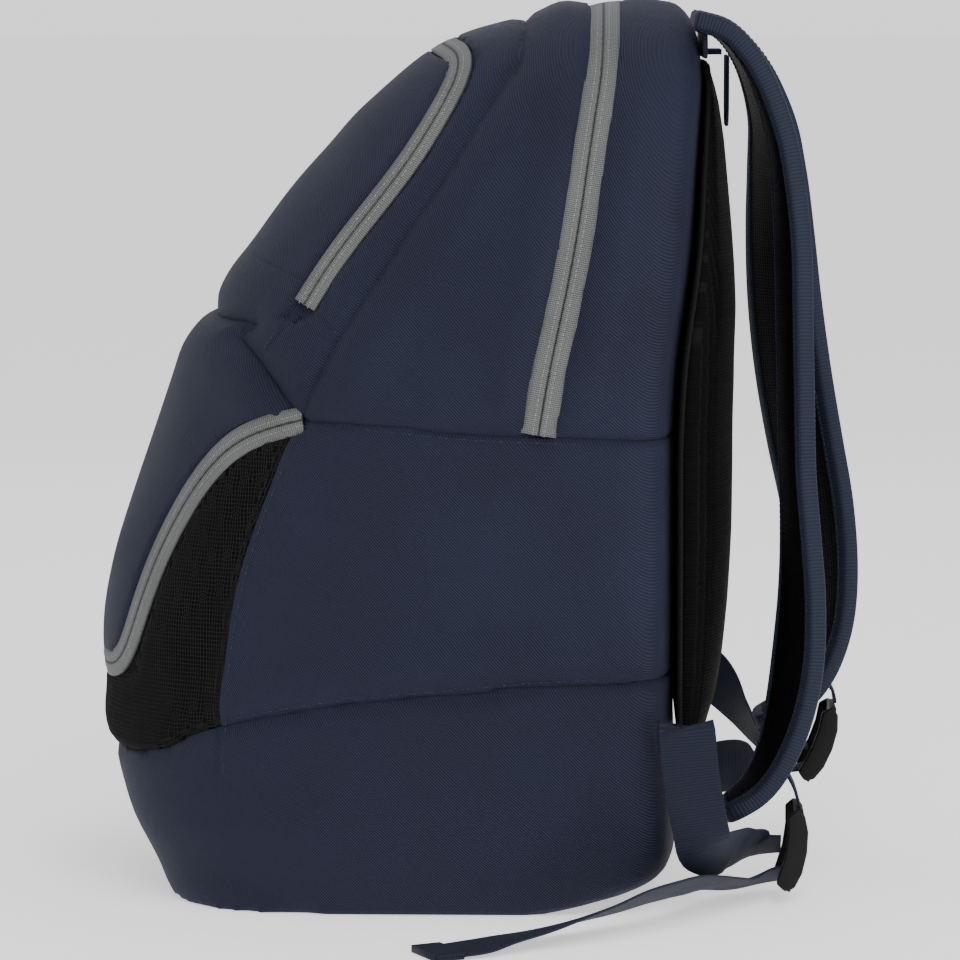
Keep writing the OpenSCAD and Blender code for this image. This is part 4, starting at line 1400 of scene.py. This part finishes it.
# ---------------------------------------------------------------- yoke and haul loop
def flat_run(name, route, across, width, body, node, rows=(0.8, -0.8), outline=WEBBING_OUTLINE):
    """A sewn strip of webbing with stitch rows near its edges."""
    rings = band_frame(np.array(route, float), np.array(across, float), 2.0)
    piece = band_piece(name, rings, np.full(len(rings[0]), width), outline, [WEBBING])
    pieces = [piece]
    for number, share in enumerate(rows):
        between = slice(len(rings[0]) // 4 + 2, -len(rings[0]) // 4 - 2)
        pieces.append(bead_row(f"{name}_row_{number}", rings[0][between], rings[3][between],
                               -share * width / 2 * MM,
                               1.0 * MM, 3.0 * MM,
                               (2.2 * MM, 0.5 * MM, 0.35 * MM), THREAD))
    for each in pieces:
        settle(each, body, "webbing")
    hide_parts(*node)
    return piece


YOKE_OUTLINE = [(x, y * 1.5) for x, y in WEBBING_OUTLINE]
flat_run("yoke_strip", [(-78, 121.6, 461), (0, 121.9, 461), (78, 121.6, 461)], [(0, 0, 1.0)] * 3, 14, "bag",
         ["strap_yoke"],
         outline=YOKE_OUTLINE)
turns = np.radians(np.arange(0, 181, 15))
LOOP_BEND = [(19 - 8 + 8 * math.cos(t), 135, 429 - 8 * math.sin(t)) for t in turns[:7]]
LOOP_BEND += [(-11 + 8 * math.cos(t), 135, 429 - 8 * math.sin(t)) for t in turns[6:]]
haul_route = [(19, 135, 455), (19, 135, 442)] + LOOP_BEND + [(-19, 135, 442), (-19, 135, 455)]
haul_points = resample(np.array(haul_route) * MM, 2.0 * MM)[0]
haul_outline = [(-4.6, -0.9), (4.6, -0.9), (5, -0.4), (5, 0.4), (4.6, 0.9), (-4.6, 0.9), (-5, 0.4),
                (-5, -0.4)]
haul_outward = np.tile([0.0, 1.0, 0.0], (len(haul_points), 1))
haul = profile_sweep("haul_webbing", smooth_line(haul_points, 3), haul_outward,
                     np.array(haul_outline) * MM, [WEBBING])
settle(haul, "haul_loop", "webbing", "haul_loop")


# ---------------------------------------------------------------- materials of the modelled parts that stay
KEPT = {
    "base_board": BOARD, "back_board": BOARD, "racket_sleeve": LINING, "lower_pocket_partition": LINING,
    "upper_pocket_partition": LINING, "haul_loop_tabs": NAVY,
}
for name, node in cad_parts.items():
    material = KEPT.get(name, ENAMEL if "slider" in name or "pull" in name else None)
    if material is not None:
        node.data.materials.clear()
        node.data.materials.append(material)
